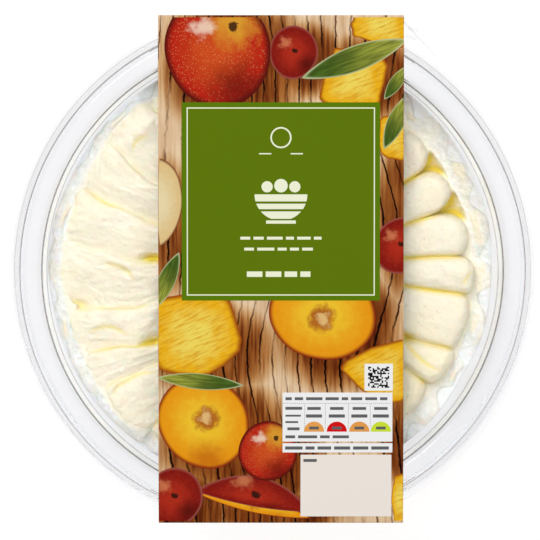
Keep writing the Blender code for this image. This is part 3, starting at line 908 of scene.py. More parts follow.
def make_cream():
    columns = StrokeColumns()
    count = len(columns.side)
    rings = []
    tones = {"gold": [], "smear": [], "edge_shade": [], "bare": []}

    def add_ring(radius, angle, height, *amounts):
        rings.append(ring_points(radius, angle, height))
        for values, amount in zip(tones.values(), amounts):
            values.append(np.clip(amount, 0, 1) * np.ones(count))

    end_angle = columns.top(columns.tip)[0]
    foot = columns.foot
    edge = film_edge(end_angle, columns.side, columns.smeared)
    rim = film_top(end_angle) + FILM_RIM
    low = CUSTARD_TOP - CREAM_SUNK + edge_wave(end_angle, CREAM_WAVE, 17)
    # The side against the wall, from its foot up to the film's edge
    add_ring(wall_inner(low) - CREAM_TUCK[0], end_angle, low, 0, 0, 0, 0)
    add_ring(wall_inner(low) + CREAM_INTO_WALL, end_angle, low + CREAM_TUCK[1], 0, 0.2, 0, 0)
    for share in CREAM_ROWS:
        height = low + (rim - low) * share
        radius = wall_inner(height) + CREAM_INTO_WALL * (1 - 0.3 * share)
        # The top row is painted in the pale tone of the clear wall lit through by the table
        add_ring(radius, end_angle, height, 0, 0.1 + 0.5 * share, 0, share == 1.0)
    # The film, from its edge down to the ends of the strokes
    start = columns.reach + FILM_START
    to_wall = wall_inner(rim) - start
    for row in range(FILM_ROWS):
        share = 1 - (row + 0.5) / FILM_ROWS
        radius = start + to_wall * share
        x, y = radius * np.cos(end_angle), radius * np.sin(end_angle)
        froth = relief(x, y, *FROTH) + 0.6 * relief(x, y, *FINE_FROTH)
        folds = relief(x, y, *FOLDS)
        curls = curl_height(x, y)
        spread = np.clip(share, 0, 1) ** 1.6
        height = foot + (rim - foot) * spread
        height += (FILM_FROTH * froth + FILM_FOLDS * folds + FILM_CURLS * curls) * (1 - spread ** 2)
        outside = (radius - edge) / FILM_LINE
        # Painted light: beyond the film's edge the cream is painted in the pale tone of the clear wall lit
        # through by the table
        bare = 0.8 * smooth_step(0.0, 1.0, outside)
        # Painted shade: a darker line along the film's edge
        line = np.exp(-(outside / 1.1) ** 2) * (0.62 + 0.25 * froth + 0.25 * folds)
        smear = smooth_step(-0.3, 0.15, share) * (1 - 0.9 * curls) * (0.78 + 0.14 * froth - 0.22 * folds)
        add_ring(radius, end_angle, height, 0, smear, line, bare)
    # The gaps between the ends, painted gold for the custard and for shade, and then the strokes from their
    # tips in to the middle
    low_foot = foot + (GAP_FLOOR - foot) * columns.golden
    for row in range(GAP_ROWS):
        share = 1 - (row + 0.5) / GAP_ROWS
        radius = columns.tip + (start - columns.tip) * share
        height = foot + (low_foot - foot) * (1 - share ** 3)
        gold = columns.golden * (1 - 0.9 * smooth_step(0.35, 1.0, share))
        add_ring(radius, end_angle, height, gold, (1 - gold) * 0.5 * share, 0, 0)
    along = np.linspace(0.0015, 1.0, TONGUE_ROWS) ** ROW_CROWDING
    round_end = np.sin(np.linspace(0, math.pi / 2, END_ROWS + 1))[1:]
    inner = columns.tip - columns.end_round
    radii = [inner * step for step in along]
    radii += [columns.tip - columns.end_round * (1 - step) for step in round_end]
    for radius in radii[::-1]:
        angle, height, gold = columns.top(radius)
        rounded = bulge(columns.tip - radius, columns.end_round)
        height = low_foot + (height - low_foot) * rounded
        add_ring(radius, angle, height, gold * rounded + columns.golden * (1 - rounded) ** 1.5, 0, 0, 0)
    points = np.concatenate([[[0.0, 0.0, CREAM_BOTTOM]], *rings, [[0.0, 0.0, CREAM_CENTRE]]])
    cream = add_piece("cream_strokes", points, ring_faces(count, len(rings)), cream_finish(), 180)
    for name, values in tones.items():
        add_values(cream, name, np.concatenate([[0.0], *values, [0.0]]))
    fit(cream, "whipped_cream", "cream")


make_cream()


# ---- Clear lid ----
# Pressed on over the flange: a sunk flat panel that plugs the bowl, a raised ring over its rim,
# a narrow shelf, a flared skirt, and a ribbed pull tab that comes out beside the card band.
LID_SHEET = 0.00045
PANEL_RADIUS = 0.0703
RING_INNER = 0.0717
RING_OUTER = 0.0785
SHELF_INNER = 0.0797
SHELF_OUTER = 0.0804
SKIRT_RADIUS = 0.0818
PANEL_DROP = 0.003
SHELF_DROP = 0.0036
LID_CORNERS = (0.0006, 0.0003, 0.0003, 0.0004, 0.0004, 0.0006)
TAB_START_ANGLE = math.radians(47.0)
TAB_END_ANGLE = math.radians(72.0)
TAB_CORNER = (0.041, 0.078)
LID_TINT = (0.955, 0.965, 0.978)
LID_GLOSS = 0.25
LID_RIPPLE = 0.1
LIP_WIDTH = 0.0002
# Painted shade: the sheet is painted darker in rings at its folds, where it looks darker from above: distance
# from the middle (mm) and grey
LID_PAINTED_SHADES = (
    (70.05, 0.96), (70.22, 0.66), (70.38, 0.66), (70.55, 1.0), (71.45, 1.0), (71.62, 0.3), (71.82, 0.3),
    (72.0, 0.91), (78.25, 0.93), (78.42, 0.3), (78.6, 0.3), (78.78, 0.8), (80.18, 0.82), (80.32, 0.66),
    (80.48, 0.66), (80.65, 0.88), (82.6, 0.98), (82.88, 0.98), (82.94, 0.82))
RIB_COUNT = 2
RIB_LENGTH = 0.0036
RIB_STEP = 0.0026
RIB_HEIGHT = 0.0005
# Painted shade: the ribs' clear sheet is painted greyer than the lid's, so they show as shaded bars
RIB_SHADE_TINT = (0.9, 0.903, 0.91)
RIB_PLACE = (0.0432, 0.0726)
RIB_TURN = math.radians(-14.0)
RIB_SINK = 0.8 * LID_SHEET

lid_low, lid_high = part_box("lid")


def tab_reach(angle):
    """Outline of the pull tab: a straight edge from the rim to its corner under the band."""
    x0, y0 = LID_RADIUS * math.cos(TAB_START_ANGLE), LID_RADIUS * math.sin(TAB_START_ANGLE)
    x1, y1 = TAB_CORNER
    run_x, run_y = x1 - x0, y1 - y0
    along = np.cos(angle) * run_y - np.sin(angle) * run_x
    edge = (x0 * run_y - y0 * run_x) / np.where(np.abs(along) < 1e-6, 1e-6, along)
    reach = np.minimum(edge, y1 / np.maximum(np.sin(angle), 0.1))
    return np.where((angle > TAB_START_ANGLE) & (angle < TAB_END_ANGLE), reach, 0.0)


def lid_rim(radius, angle):
    """The pinched rim, and the lip let out to the tab's edge."""
    out = pinched(radius, angle)
    lip = radius > LID_RADIUS - LIP_WIDTH
    return np.where(lip, np.maximum(out, tab_reach(angle) - (LID_RADIUS - radius)), out)


def ribs_tree():
    """A row of short raised bars pressed into the tab, one above the other."""
    tree, given = new_tree("tab_ribs", Count="Int", Step="Float", Length="Float", Height="Float",
                           Finish="Material")
    row = add_node(tree, "GeometryNodeMeshLine", {
        "Count": given["Count"], "Offset": combine(tree, 0.0, given["Step"], 0.0)})
    start, end = (
        combine(tree, calc(tree, "MULTIPLY", given["Length"], side), 0.0, 0.0) for side in (-0.5, 0.5))
    line = add_node(tree, "GeometryNodeCurvePrimitiveLine", {"Start": start, "End": end})
    bar = add_node(tree, "GeometryNodeCurvePrimitiveCircle", {"Resolution": 12, "Radius": given["Height"]})
    rod = add_node(tree, "GeometryNodeCurveToMesh", {"Curve": line, "Profile Curve": bar, "Fill Caps": True})
    ribs = add_node(tree, "GeometryNodeInstanceOnPoints", {"Points": row, "Instance": rod})
    close_tree(tree, ribs, given["Finish"])
    return tree


def make_lid():
    top = lid_high[2] - LID_SHEET / 2
    lip = lid_low[2] + LID_SHEET / 2
    line = softened([
        (0.0, top - PANEL_DROP), (PANEL_RADIUS, top - PANEL_DROP), (RING_INNER, top), (RING_OUTER, top),
        (SHELF_INNER, top - SHELF_DROP), (SHELF_OUTER, top - SHELF_DROP), (SKIRT_RADIUS, lip),
        (LID_RADIUS, lip)], LID_CORNERS)
    outline = sheet_outline(line, LID_SHEET)
    plastic = clear_sheet("clear_lid_plastic", LID_TINT, LID_RIPPLE, LID_GLOSS, LID_PAINTED_SHADES)
    lid = add_piece("clear_lid", *turned(outline, lid_rim), plastic)
    add_values(lid, "formed_radius", np.concatenate([[0.0], np.repeat(outline[1:-1, 0], TURN_STEPS), [0.0]]))
    fit(lid, "clear_lid_plastic", "lid")
    ribs = grown("tab_ribs", ribs_tree(), {
        "Count": RIB_COUNT, "Step": RIB_STEP, "Length": RIB_LENGTH, "Height": RIB_HEIGHT,
        "Finish": clear_sheet("clear_lid_ribs", RIB_SHADE_TINT, LID_RIPPLE, LID_GLOSS)})
    place = Matrix.Translation((*RIB_PLACE, lid_low[2] + RIB_SINK))
    ribs.data.transform(place @ Matrix.Rotation(RIB_TURN, 4, "Z"))
    fit(ribs, "clear_lid_plastic")


make_lid()


# ---- Card band ----
# Folded boxboard round the whole pack, printed outside, plain inside, glued under the base.
# Its top panel lies on the lid, and its ends are bent round the rim and run in to the base.
SLEEVE_BASE_HALF = 0.0586
SLEEVE_BEND_HEIGHT = 0.0562
FOLD_RADIUS = 0.0007
BEND_RADIUS = 0.003
FOLD_STEPS = 8
CARD_SHARP = 35
INK_STEP = 0.00002
INK_LAYERS = 8
BOARD_LIGHT = (0.869, 0.649, 0.424)
BOARD_DEEP = (0.572, 0.319, 0.143)
BOARD_LINE = (0.095, 0.024, 0.008)
SHADE_DEPTH = 3.4
SHADE_BLACK = 0.45
SHADE_EDGE = (1.15, 0.55)
LINE_STEP = 0.0042
LINE_SWAY = 0.022
LINE_JAG = 0.0011
PRINT_SHEEN = 0.03
PRINT_ROUGHNESS = 0.45
CARD_INSIDE = (0.76, 0.73, 0.67)
CARD_EDGE = (0.88, 0.86, 0.82)

# Soft shade printed right of and below the fruit: place, half width and half length, how deep
SHADES = (
    (-0.012, 0.064, 0.0235, 0.0225, 0.95), (0.01, 0.065, 0.0125, 0.012, 0.85),
    (0.02, -0.018, 0.02, 0.02, 1.0), (-0.015, -0.052, 0.021, 0.019, 1.0),
    (0.003, -0.06, 0.014, 0.013, 1.0), (-0.026, -0.074, 0.013, 0.013, 0.95),
    (0.001, -0.076, 0.02, 0.008, 1.0), (0.039, 0.016, 0.007, 0.025, 0.75),
    (-0.033, 0.013, 0.009, 0.022, 0.75), (-0.019, -0.025, 0.021, 0.015, 0.85),
    (0.04, -0.052, 0.007, 0.016, 0.8), (0.03, 0.06, 0.016, 0.014, 0.9),
)

card_top = sleeve_high[2] - INK_STEP * INK_LAYERS


def corner_turns(corners):
    """Each corner of a closed outline, the direction that it is reached in and how far it turns."""
    for index, (y, z) in enumerate(corners):
        before, after = corners[index - 1], corners[(index + 1) % len(corners)]
        first = math.atan2(z - before[1], y - before[0])
        yield y, z, first, (math.atan2(after[1] - z, after[0] - y) - first) % (2 * math.pi)


def inset(corners, depth):
    """The same convex outline moved inwards. Corners run anticlockwise."""
    moved = []
    for y, z, first, turn in corner_turns(corners):
        normal = first + turn / 2 + math.pi / 2
        length = depth / math.cos(turn / 2)
        moved.append((y + length * math.cos(normal), z + length * math.sin(normal)))
    return moved


def folded(corners, radii):
    """The outline with each corner replaced by an arc."""
    outline = []
    for (y, z, first, turn), radius in zip(corner_turns(corners), radii):
        back = radius * math.tan(turn / 2)
        centre_y = y - back * math.cos(first) - radius * math.sin(first)
        centre_z = z - back * math.sin(first) + radius * math.cos(first)
        for step in range(FOLD_STEPS + 1):
            angle = first - math.pi / 2 + turn * step / FOLD_STEPS
            outline.append((centre_y + radius * math.cos(angle), centre_z + radius * math.sin(angle)))
    return outline


def eased(tree, value, start, end, low=0.0, high=1.0):
    """The value mapped smoothly from start..end to low..high."""
    return ranged(tree, value, start, end, low, high, "SMOOTHSTEP")


def stretched_noise(tree, spot, across, along, detail=3.0):
    """Noise with this many bumps to the metre across and along the band."""
    place = add_node(tree, "ShaderNodeMapping", {"Vector": spot, "Scale": (across, along, 1.0)})
    return noise(tree, place, 1.0, detail)


def print_material(name, colour):
    return new_material(name, colour, PRINT_ROUGHNESS, Specular_IOR_Level=PRINT_SHEEN)


def printed_board():
    """The band's printed ground: pale weathered board, its dark grain lines running along the band."""
    made, tree, shader = print_material("printed_card", BOARD_LIGHT)
    spot = add_node(tree, "ShaderNodeUVMap", uv_map="band")
    fibre = eased(tree, stretched_noise(tree, spot, 900.0, 60.0), 0.4, 0.75, 0.0, 0.75)
    patch = eased(tree, stretched_noise(tree, spot, 90.0, 35.0), 0.42, 0.75, 0.0, 0.55)
    colour = mixed(tree, patch, mixed(tree, fibre, BOARD_LIGHT, BOARD_DEEP), BOARD_DEEP)
    sway = calc(tree, "MULTIPLY", stretched_noise(tree, spot, 14.0, 18.0, 0.0), LINE_SWAY)
    jag = calc(tree, "MULTIPLY", stretched_noise(tree, spot, 300.0, 420.0), LINE_JAG)
    across = calc(tree, "ADD", calc(tree, "ADD", separate(tree, spot)[0], sway), jag)
    near = calc(tree, "PINGPONG", calc(tree, "DIVIDE", across, LINE_STEP), 0.5)
    strength = eased(tree, stretched_noise(tree, spot, 160.0, 60.0), 0.35, 0.6, 0.15, 0.95)
    line = calc(tree, "MULTIPLY", eased(tree, near, 0.1, 0.02), strength)
    colour = mixed(tree, line, colour, BOARD_LINE)
    shade = 0.0
    for x, y, wide, long, depth in SHADES:
        away = add_node(tree, "ShaderNodeMapping", {
            "Vector": spot, "Location": (-x / wide, -y / long, 0.0), "Scale": (1 / wide, 1 / long, 1.0)})
        far = vector_calc(tree, "LENGTH", away, out="Value")
        shade = calc(tree, "MAXIMUM", shade, eased(tree, far, *SHADE_EDGE, 0.0, depth))
    deeper = calc(tree, "MULTIPLY_ADD", shade, SHADE_DEPTH, 1.0)
    colour = add_node(tree, "ShaderNodeGamma", {"Color": colour, "Gamma": deeper})
    black = calc(tree, "MULTIPLY", shade, SHADE_BLACK)
    join(shader, Base_Color=mixed(tree, black, colour, (0.0, 0.0, 0.0)))
    return made


def plain_card(name, colour):
    return mottled(name, colour, tuple(c * 0.93 for c in colour), 500.0, 0.75, bump=0.2, distance=0.0001)


def make_sleeve():
    left, right = sleeve_low[1], sleeve_high[1]
    corners = [
        (-SLEEVE_BASE_HALF, 0.0), (SLEEVE_BASE_HALF, 0.0), (right, SLEEVE_BEND_HEIGHT), (right, card_top),
        (left, card_top), (left, SLEEVE_BEND_HEIGHT)]
    radii = (FOLD_RADIUS, FOLD_RADIUS, BEND_RADIUS, FOLD_RADIUS, FOLD_RADIUS, BEND_RADIUS)
    outer = folded(corners, radii)
    inner = folded(inset(corners, CARD), [radius - CARD for radius in radii])
    count = len(outer)
    x0, x1 = sleeve_low[0], sleeve_high[0]
    points = [(x, y, z) for loop in (outer, inner) for x in (x0, x1) for y, z in loop]
    run = [0.0]
    for index in range(count):
        (y0, z0), (y1, z1) = outer[index], outer[(index + 1) % count]
        run.append(run[-1] + math.hypot(y1 - y0, z1 - z0))
    first_on_top = 3 * FOLD_STEPS + 3
    top_run = run[first_on_top] + outer[first_on_top][0]
    faces, kinds, spots = [], [], []
    for step in range(count):
        after = (step + 1) % count
        here = [step + count * loop for loop in range(4)]
        there = [after + count * loop for loop in range(4)]
        faces += [
            (here[0], there[0], there[1], here[1]), (here[2], here[3], there[3], there[2]),
            (here[0], here[2], there[2], there[0]), (here[1], there[1], there[3], here[3])]
        kinds += [0, 1, 2, 2]
        here_y, there_y = top_run - run[step], top_run - run[step + 1]
        spots += [(x0, here_y), (x0, there_y), (x1, there_y), (x1, here_y)] + [(0, 0)] * 12
    band = add_piece("card_band", points, faces, printed_board(), CARD_SHARP)
    band.data.materials.append(plain_card("card_inside", CARD_INSIDE))
    band.data.materials.append(plain_card("card_cut_edge", CARD_EDGE))
    band.data.polygons.foreach_set("material_index", kinds)
    layer = band.data.uv_layers.new(name="band")
    layer.data.foreach_set("uv", np.array(spots, dtype=np.float32).ravel())
    fit(band, "printed_card", "sleeve")


make_sleeve()


# ---- Printed fruit ----
# The band's printed picture, in plain shapes of ink: red round fruit, cut golden fruit, yellow
# pieces, a pale slice and leaves. Each is a skin of ink on the card, cropped at the band's edges.
INK_DEPTH = 0.00006
PRINT_LOW = (sleeve_low[0] + 0.0001, sleeve_low[1] + FOLD_RADIUS)
PRINT_HIGH = (sleeve_high[0] - 0.0001, sleeve_high[1] - FOLD_RADIUS)
INK_RINGS = 4
ROUND_POINTS = 72
LENS_POINTS = 28
CUT_SOFTNESS = 3.0
CUT_BOW = 0.03

# Round fruit: middle and radius in mm, how much longer than wide, turn in degrees, ink layer
RED_FRUIT = ((-17.0, 68.5, 16.5, 1.06, 110, 3), (-1.5, -56.0, 9.0, 1.05, 70, 4))
SMALL_RED_FRUIT = (
    (6.5, 68.0, 7.5, 1.1, 80, 2), (-31.0, -70.5, 9.0, 1.05, 30, 3), (39.5, 8.0, 8.0, 1.1, 70, 2))
GOLDEN_HALVES = ((15.5, -13.0, 14.5, 1.15, 170, 3), (-21.5, -47.0, 13.5, 1.12, -40, 3))
PALE_SLICES = ((-37.5, 21.0, 9.5, 1.5, 80, 2),)

# Yellow pieces: corners in mm, anticlockwise, and ink layer
YELLOW_PIECES = (
    (((14.0, 52.0), (33.0, 51.0), (36.0, 66.0), (19.0, 70.0)), 1),
    (((24.0, 73.0), (42.0, 69.0), (42.0, 81.0), (25.0, 81.0)), 2),
    (((33.0, 36.0), (42.0, 34.0), (42.0, 50.0), (33.0, 48.0)), 1),
    (((-37.0, -30.0), (-22.0, -33.5), (-9.0, -24.0), (-14.0, -7.0), (-37.0, -8.0)), 2),
    (((20.0, -29.0), (33.0, -42.0), (42.0, -40.0), (42.0, -20.0)), 1),
    (((37.6, -79.0), (41.5, -79.0), (41.5, -62.0), (37.6, -64.0)), 1),
)
# Inks: their inner, outer and rim colours, where the rim starts, unevenness and grain, then fine dots
# (colour, scale, amount), streaks (colour, across, along, amount) and soft spots (place, radius,
# softness, colour, amount), in lengths of the fruit's radius
INKS = {
    "red_fruit_ink": {
        "ground": ((0.64, 0.075, 0.012), (0.5, 0.016, 0.006), (0.11, 0.006, 0.003)),
        "rim_from": 0.88, "unevenness": 0.3, "grain": 4.0, "dots": ((0.86, 0.4, 0.13), 26.0, 1.0),
        "spots": (
            (0.1, 0.62, 0.66, 0.9, (0.76, 0.37, 0.03), 0.9),
            (-0.42, 0.32, 0.3, 0.9, (0.94, 0.72, 0.56), 0.8),
            (0.12, 0.52, 0.1, 0.5, (0.05, 0.015, 0.005), 0.95),
            (0.6, -0.55, 0.75, 0.9, (0.17, 0.006, 0.003), 0.8))},
    "dark_red_fruit_ink": {
        "ground": ((0.44, 0.024, 0.009), (0.23, 0.007, 0.004), (0.33, 0.08, 0.06)),
        "rim_from": 0.93, "unevenness": 0.4, "grain": 4.0, "dots": ((0.62, 0.14, 0.07), 30.0, 0.6),
        "spots": (
            (-0.35, 0.4, 0.36, 0.9, (0.76, 0.26, 0.11), 0.6),
            (0.05, 0.05, 0.14, 0.6, (0.03, 0.008, 0.004), 0.95),
            (0.55, -0.5, 0.6, 0.9, (0.08, 0.004, 0.002), 0.75))},
    "golden_half_ink": {
        "ground": ((0.93, 0.6, 0.03), (0.86, 0.33, 0.006), (0.27, 0.02, 0.005)),
        "rim_from": 0.94, "unevenness": 0.3, "grain": 5.0,
        "spots": (
            (0.0, 0.1, 0.36, 0.5, (0.43, 0.1, 0.012), 0.92),
            (-0.05, 0.12, 0.2, 0.7, (0.84, 0.56, 0.22), 0.85),
            (0.6, -0.6, 0.6, 0.9, (0.56, 0.12, 0.004), 0.7))},
    "pale_slice_ink": {
        "ground": ((0.86, 0.72, 0.42), (0.78, 0.56, 0.25), (0.2, 0.04, 0.012)),
        "rim_from": 0.95, "unevenness": 0.3, "grain": 5.0},
    "yellow_piece_ink": {
        "ground": ((0.93, 0.74, 0.12), (0.9, 0.47, 0.008), (0.36, 0.07, 0.004)),
        "rim_from": 0.9, "unevenness": 0.55, "grain": 2.6, "streaks": ((0.72, 0.33, 0.008), 2.0, 14.0, 0.75)},
}
# Pieces of round fruit: name, ink, fruit, and the turn of their marks where it isn't each fruit's own
ROUND_PRINTS = (
    ("printed_red_fruit", "red_fruit_ink", RED_FRUIT, -20.0),
    ("printed_small_red_fruit", "dark_red_fruit_ink", SMALL_RED_FRUIT, 0.0),
    ("printed_golden_halves", "golden_half_ink", GOLDEN_HALVES, None),
    ("printed_pale_slices", "pale_slice_ink", PALE_SLICES, None),
)
# Slices with their skin on: name, ink, the two ends in mm, how far each side bows out, ink layer
SLICE_PRINTS = (
    ("printed_red_slices", "dark_red_fruit_ink", ((-24.0, -68.5), (12.0, -75.0), 8.0, 1.5, 2)),
    ("printed_golden_slices", "golden_half_ink", ((-23.0, -69.5), (12.0, -77.0), 2.6, 2.0, 1)),
)
SLICE_SHIFT = (0.0, 1.5)
# Size (mm) and turn (degrees) of the marks on the cut pieces and on the slices
YELLOW_MARKS = (11.0, 25.0)
SLICE_MARKS = (12.0, -10.0)
# Leaves: stalk end and tip in mm, width and ink layer
LEAVES = (
    ((42.0, 72.0), (9.0, 60.0), 8.0, 4), ((42.0, 64.0), (34.6, 53.4), 4.0, 4),
    ((42.0, 55.0), (34.5, 38.0), 5.5, 4), ((-37.0, -12.0), (-29.0, 6.0), 5.5, 4),
    ((-36.0, -33.0), (-9.0, -35.5), 5.0, 4),
)
LEAF_GREEN = (0.16, 0.25, 0.02)
LEAF_PALE = (0.42, 0.44, 0.06)
LEAF_DEEP = (0.075, 0.145, 0.015)
LEAF_VEIN = (0.02, 0.045, 0.005)
LEAF_EDGE = (0.56, 0.6, 0.33)


def round_outline(x, y, radius, longer, turn):
    """An uneven round outline, a little longer one way than the other."""
    angle = np.arange(ROUND_POINTS) * 2 * math.pi / ROUND_POINTS
    uneven = 0.014 * np.sin(2 * angle + x) + 0.01 * np.sin(3 * angle + y) + 0.004 * np.sin(7 * angle)
    long, wide = radius * (1 + uneven) * longer * np.cos(angle), radius * (1 + uneven) * np.sin(angle)
    c, s = math.cos(math.radians(turn)), math.sin(math.radians(turn))
    return np.stack([x + long * c - wide * s, y + long * s + wide * c], 1)


def cut_outline(corners):
    """A cut piece: straight sides that bow a little, with rounded corners."""
    outline = []
    for index, corner in enumerate(corners):
        before, after = corners[index - 1], corners[(index + 1) % len(corners)]
        outline += round_corner(before, corner, after, CUT_SOFTNESS, 6, 0.45)
        on = Vector(after) - Vector(corner)
        bow = Vector((on.y, -on.x)).normalized() * on.length * CUT_BOW
        outline.append(tuple(Vector(corner) + on / 2 + bow))
    outline = np.array(outline)
    return outline + 0.25 * np.sin(outline[:, ::-1] * 1.7)


def lens_outline(start, end, left, right):
    """A pointed outline between two ends. Its sides bow out by left and right of the way along."""
    start, end = np.array(start), np.array(end)
    along = (end - start) / np.linalg.norm(end - start)
    across = np.array([-along[1], along[0]])
    share = np.linspace(0, 1, LENS_POINTS)
    bow = np.sin(math.pi * share) ** 0.8
    line = start + share[:, None] * (end - start)
    below = line - across * (bow * right)[:, None]
    above = line + across * (bow * left)[:, None]
    return np.concatenate([below, above[-2:0:-1]])


def ink_skin(outline, middle, layer, size=1.0, turn=0.0, rings=INK_RINGS):
    """One shape of ink: points, faces, and at each point its place on the motif and how near its edge.

    Lengths are in mm. Where the outline leaves the band it is drawn in towards the middle.
    """
    low, high = np.array(PRINT_LOW) * 1000, np.array(PRINT_HIGH) * 1000
    centre = np.clip(middle, low + 0.5, high - 0.5)
    reach = outline - centre
    room = np.where(reach > 0, high - centre, low - centre) / np.where(np.abs(reach) < 1e-6, 1.0, reach)
    room = np.where(np.abs(reach) < 1e-6, 1.0, room)
    share = np.minimum(1.0, room.min(axis=1))
    foot, top = card_top - INK_DEPTH, card_top + layer * INK_STEP
    levels = [(0.0, foot), (1.0, foot)] + [(1 - step / rings, top) for step in range(rings)] + [(0.0, top)]
    flat, edges, heights = [], [], []
    for part, height in levels:
        some = share if part else share[:1] * 0
        flat.append(centre + reach[:len(some)] * (some * part)[:, None])
        edges.append(some * part)
        heights.append(np.full(len(some), height))
    flat, edges, heights = np.concatenate(flat), np.concatenate(edges), np.concatenate(heights)
    x, y = (flat - middle).T / size
    c, s = math.cos(math.radians(turn)), math.sin(math.radians(turn))
    motif = np.stack([x * c + y * s, y * c - x * s, edges], 1)
    return np.column_stack([flat / 1000, heights]), ring_faces(len(share), len(levels) - 2), motif


def printed(name, skins, finish):
    """A printed piece made of skins of ink that share one ink."""
    points, faces, motifs = [], [], []
    count = 0
    for skin_points, skin_faces, motif in skins:
        faces += [tuple(index + count for index in face) for face in skin_faces]
        count += len(skin_points)
        points.append(skin_points)
        motifs.append(motif)
    piece = add_piece(name, np.concatenate(points), faces, finish, 20)
    layer = piece.data.attributes.new("motif", "FLOAT_VECTOR", "POINT")
    layer.data.foreach_set("vector", np.concatenate(motifs).astype(np.float32).ravel())
    fit(piece, "printed_card")


def ink(name, ground, rim_from, unevenness, grain, dots=None, spots=(), streaks=None):
    """Printed ink that runs from inner to outer to a rim, with fine dots, streaks and soft spots on top."""
    inner, outer, rim = ground
    made, tree, shader = print_material(name, inner)
    x, y, edge = separate(tree, add_node(tree, "ShaderNodeAttribute", out="Vector", attribute_name="motif"))
    place = combine(tree, x, y, 0.0)
    grains = noise(tree, place, grain, 4.0, Roughness=0.6)
    uneven = calc(tree, "MULTIPLY_ADD", calc(tree, "SUBTRACT", grains, 0.5), 2 * unevenness, edge)
    colour = mixed(tree, eased(tree, uneven, 0.1, 0.95), inner, outer)
    if dots:
        tint, scale, amount = dots
        cells = add_node(tree, "ShaderNodeTexVoronoi", {"Vector": place, "Scale": scale}, "Distance")
        dot = calc(tree, "MULTIPLY", eased(tree, cells, 0.3, 0.15), amount)
        colour = mixed(tree, calc(tree, "MULTIPLY", dot, grains), colour, tint)
    if streaks:
        tint, across, along, amount = streaks
        fibre = eased(tree, stretched_noise(tree, place, across, along), 0.45, 0.68, 0.0, amount)
        colour = mixed(tree, fibre, colour, tint)
    for x, y, radius, soft, tint, amount in spots:
        far = vector_calc(tree, "DISTANCE", place, (x, y, 0.0), out="Value")
        away = calc(tree, "MULTIPLY_ADD", calc(tree, "SUBTRACT", grains, 0.5), soft * 0.8, far)
        colour = mixed(tree, eased(tree, away, radius, radius * (1 - soft), 0.0, amount), colour, tint)
    join(shader, Base_Color=mixed(tree, eased(tree, edge, rim_from - 0.04, 1.0), colour, rim))
    return made


def print_fruit():
    inks = {name: ink(name, **mix) for name, mix in INKS.items()}
    for name, finish, fruit, tilt in ROUND_PRINTS:
        skins = []
        for x, y, radius, longer, turn, layer in fruit:
            outline = round_outline(x, y, radius, longer, turn)
            skins.append(ink_skin(outline, (x, y), layer, radius, turn if tilt is None else tilt))
        printed(name, skins, inks[finish])
    skins = [
        ink_skin(cut_outline(corners), np.mean(corners, axis=0), layer, *YELLOW_MARKS)
        for corners, layer in YELLOW_PIECES]
    printed("printed_yellow_pieces", skins, inks["yellow_piece_ink"])
    for name, finish, (start, end, left, right, layer) in SLICE_PRINTS:
        middle = (np.array(start) + end) / 2 + SLICE_SHIFT
        skin = ink_skin(lens_outline(start, end, left, right), middle, layer, *SLICE_MARKS)
        printed(name, [skin], inks[finish])


def leaf_ink():
    """Leaf green, paler along its edges and midrib, with fine long veins."""
    made, tree, shader = print_material("leaf_ink", LEAF_GREEN)
    motif = add_node(tree, "ShaderNodeAttribute", out="Vector", attribute_name="motif")
    along, _, edge = separate(tree, motif)
    veins = eased(tree, stretched_noise(tree, motif, 2.2, 26.0), 0.35, 0.65)
    body = mixed(tree, eased(tree, along, -0.9, 0.7), LEAF_PALE, LEAF_DEEP)
    colour = mixed(tree, calc(tree, "MULTIPLY", veins, 0.55), body, LEAF_VEIN)
    join(shader, Base_Color=mixed(tree, eased(tree, edge, 0.86, 0.98, 0.0, 0.8), colour, LEAF_EDGE))
    return made


def print_leaves():
    skins = []
    for start, end, width, layer in LEAVES:
        run = np.array(end) - start
        outline = lens_outline(start, end, width / 2, width / 2)
        turn = math.degrees(math.atan2(run[1], run[0]))
        skins.append(ink_skin(outline, (np.array(start) + end) / 2, layer, math.hypot(*run) / 2, turn))
    printed("printed_leaves", skins, leaf_ink())


print_fruit()
print_leaves()


# ---- Printed panel and labels ----
# A square green panel with a pale line frame and plain bars, and below it the white label boxes:
# grey bars and dotted rules, four half discs in traffic colours, a patch of dark squares and a beige box.
PANEL_LEFT, PANEL_RIGHT, PANEL_LOW, PANEL_HIGH = -28.2, 33.3, -9.0, 52.5
PANEL_MARGIN = 1.55
PANEL_LINE = 0.37
PANEL_GREEN = (0.121, 0.195, 0.002)
PANEL_BORDER = (0.108, 0.207, 0.002)
PANEL_PALE = (0.928, 0.95, 0.719)
LABEL_WHITE = (0.95, 0.95, 0.95)
LABEL_BEIGE = (0.928, 0.853, 0.777)
LABEL_GREY = (0.13, 0.13, 0.135)
CODE_DARK = (0.01, 0.01, 0.01)
# Label boxes: left, right, bottom, top (mm)
INFO_BOX = (3.1, 37.3, -53.0, -37.7)
INFO_STRIP = (3.1, 37.3, -56.4, -53.5)
DATE_BOX = (8.7, 37.0, -76.4, -57.1)
CODE_BOX = (28.6, 37.4, -37.1, -28.7)
LABEL_BOXES = (INFO_BOX, INFO_STRIP, CODE_BOX)
# Rows of grey bars: left, right, middle and height (mm) and seed, and in the last the bars' lengths
LABEL_ROWS = (
    (4.0, 36.6, -39.6, 0.9, 3), (4.0, 9.2, -42.6, 0.9, 4), (4.0, 8.8, -44.9, 0.6, 5),
    (4.0, 8.8, -46.9, 0.6, 6), (4.6, 8.4, -49.0, 0.9, 7), (4.0, 26.0, -51.5, 0.9, 8),
    (3.9, 36.2, -55.0, 1.0, 9), (9.6, 17.4, -58.9, 0.9, 10, 3.0, 4.2))
# Bars over and on each half disc: half width, bottom, top (mm) and ink layer
DISC_BARS = ((2.1, -43.1, -42.2, 6), (2.5, -45.5, -44.5, 6), (1.5, -49.2, -48.3, 7))
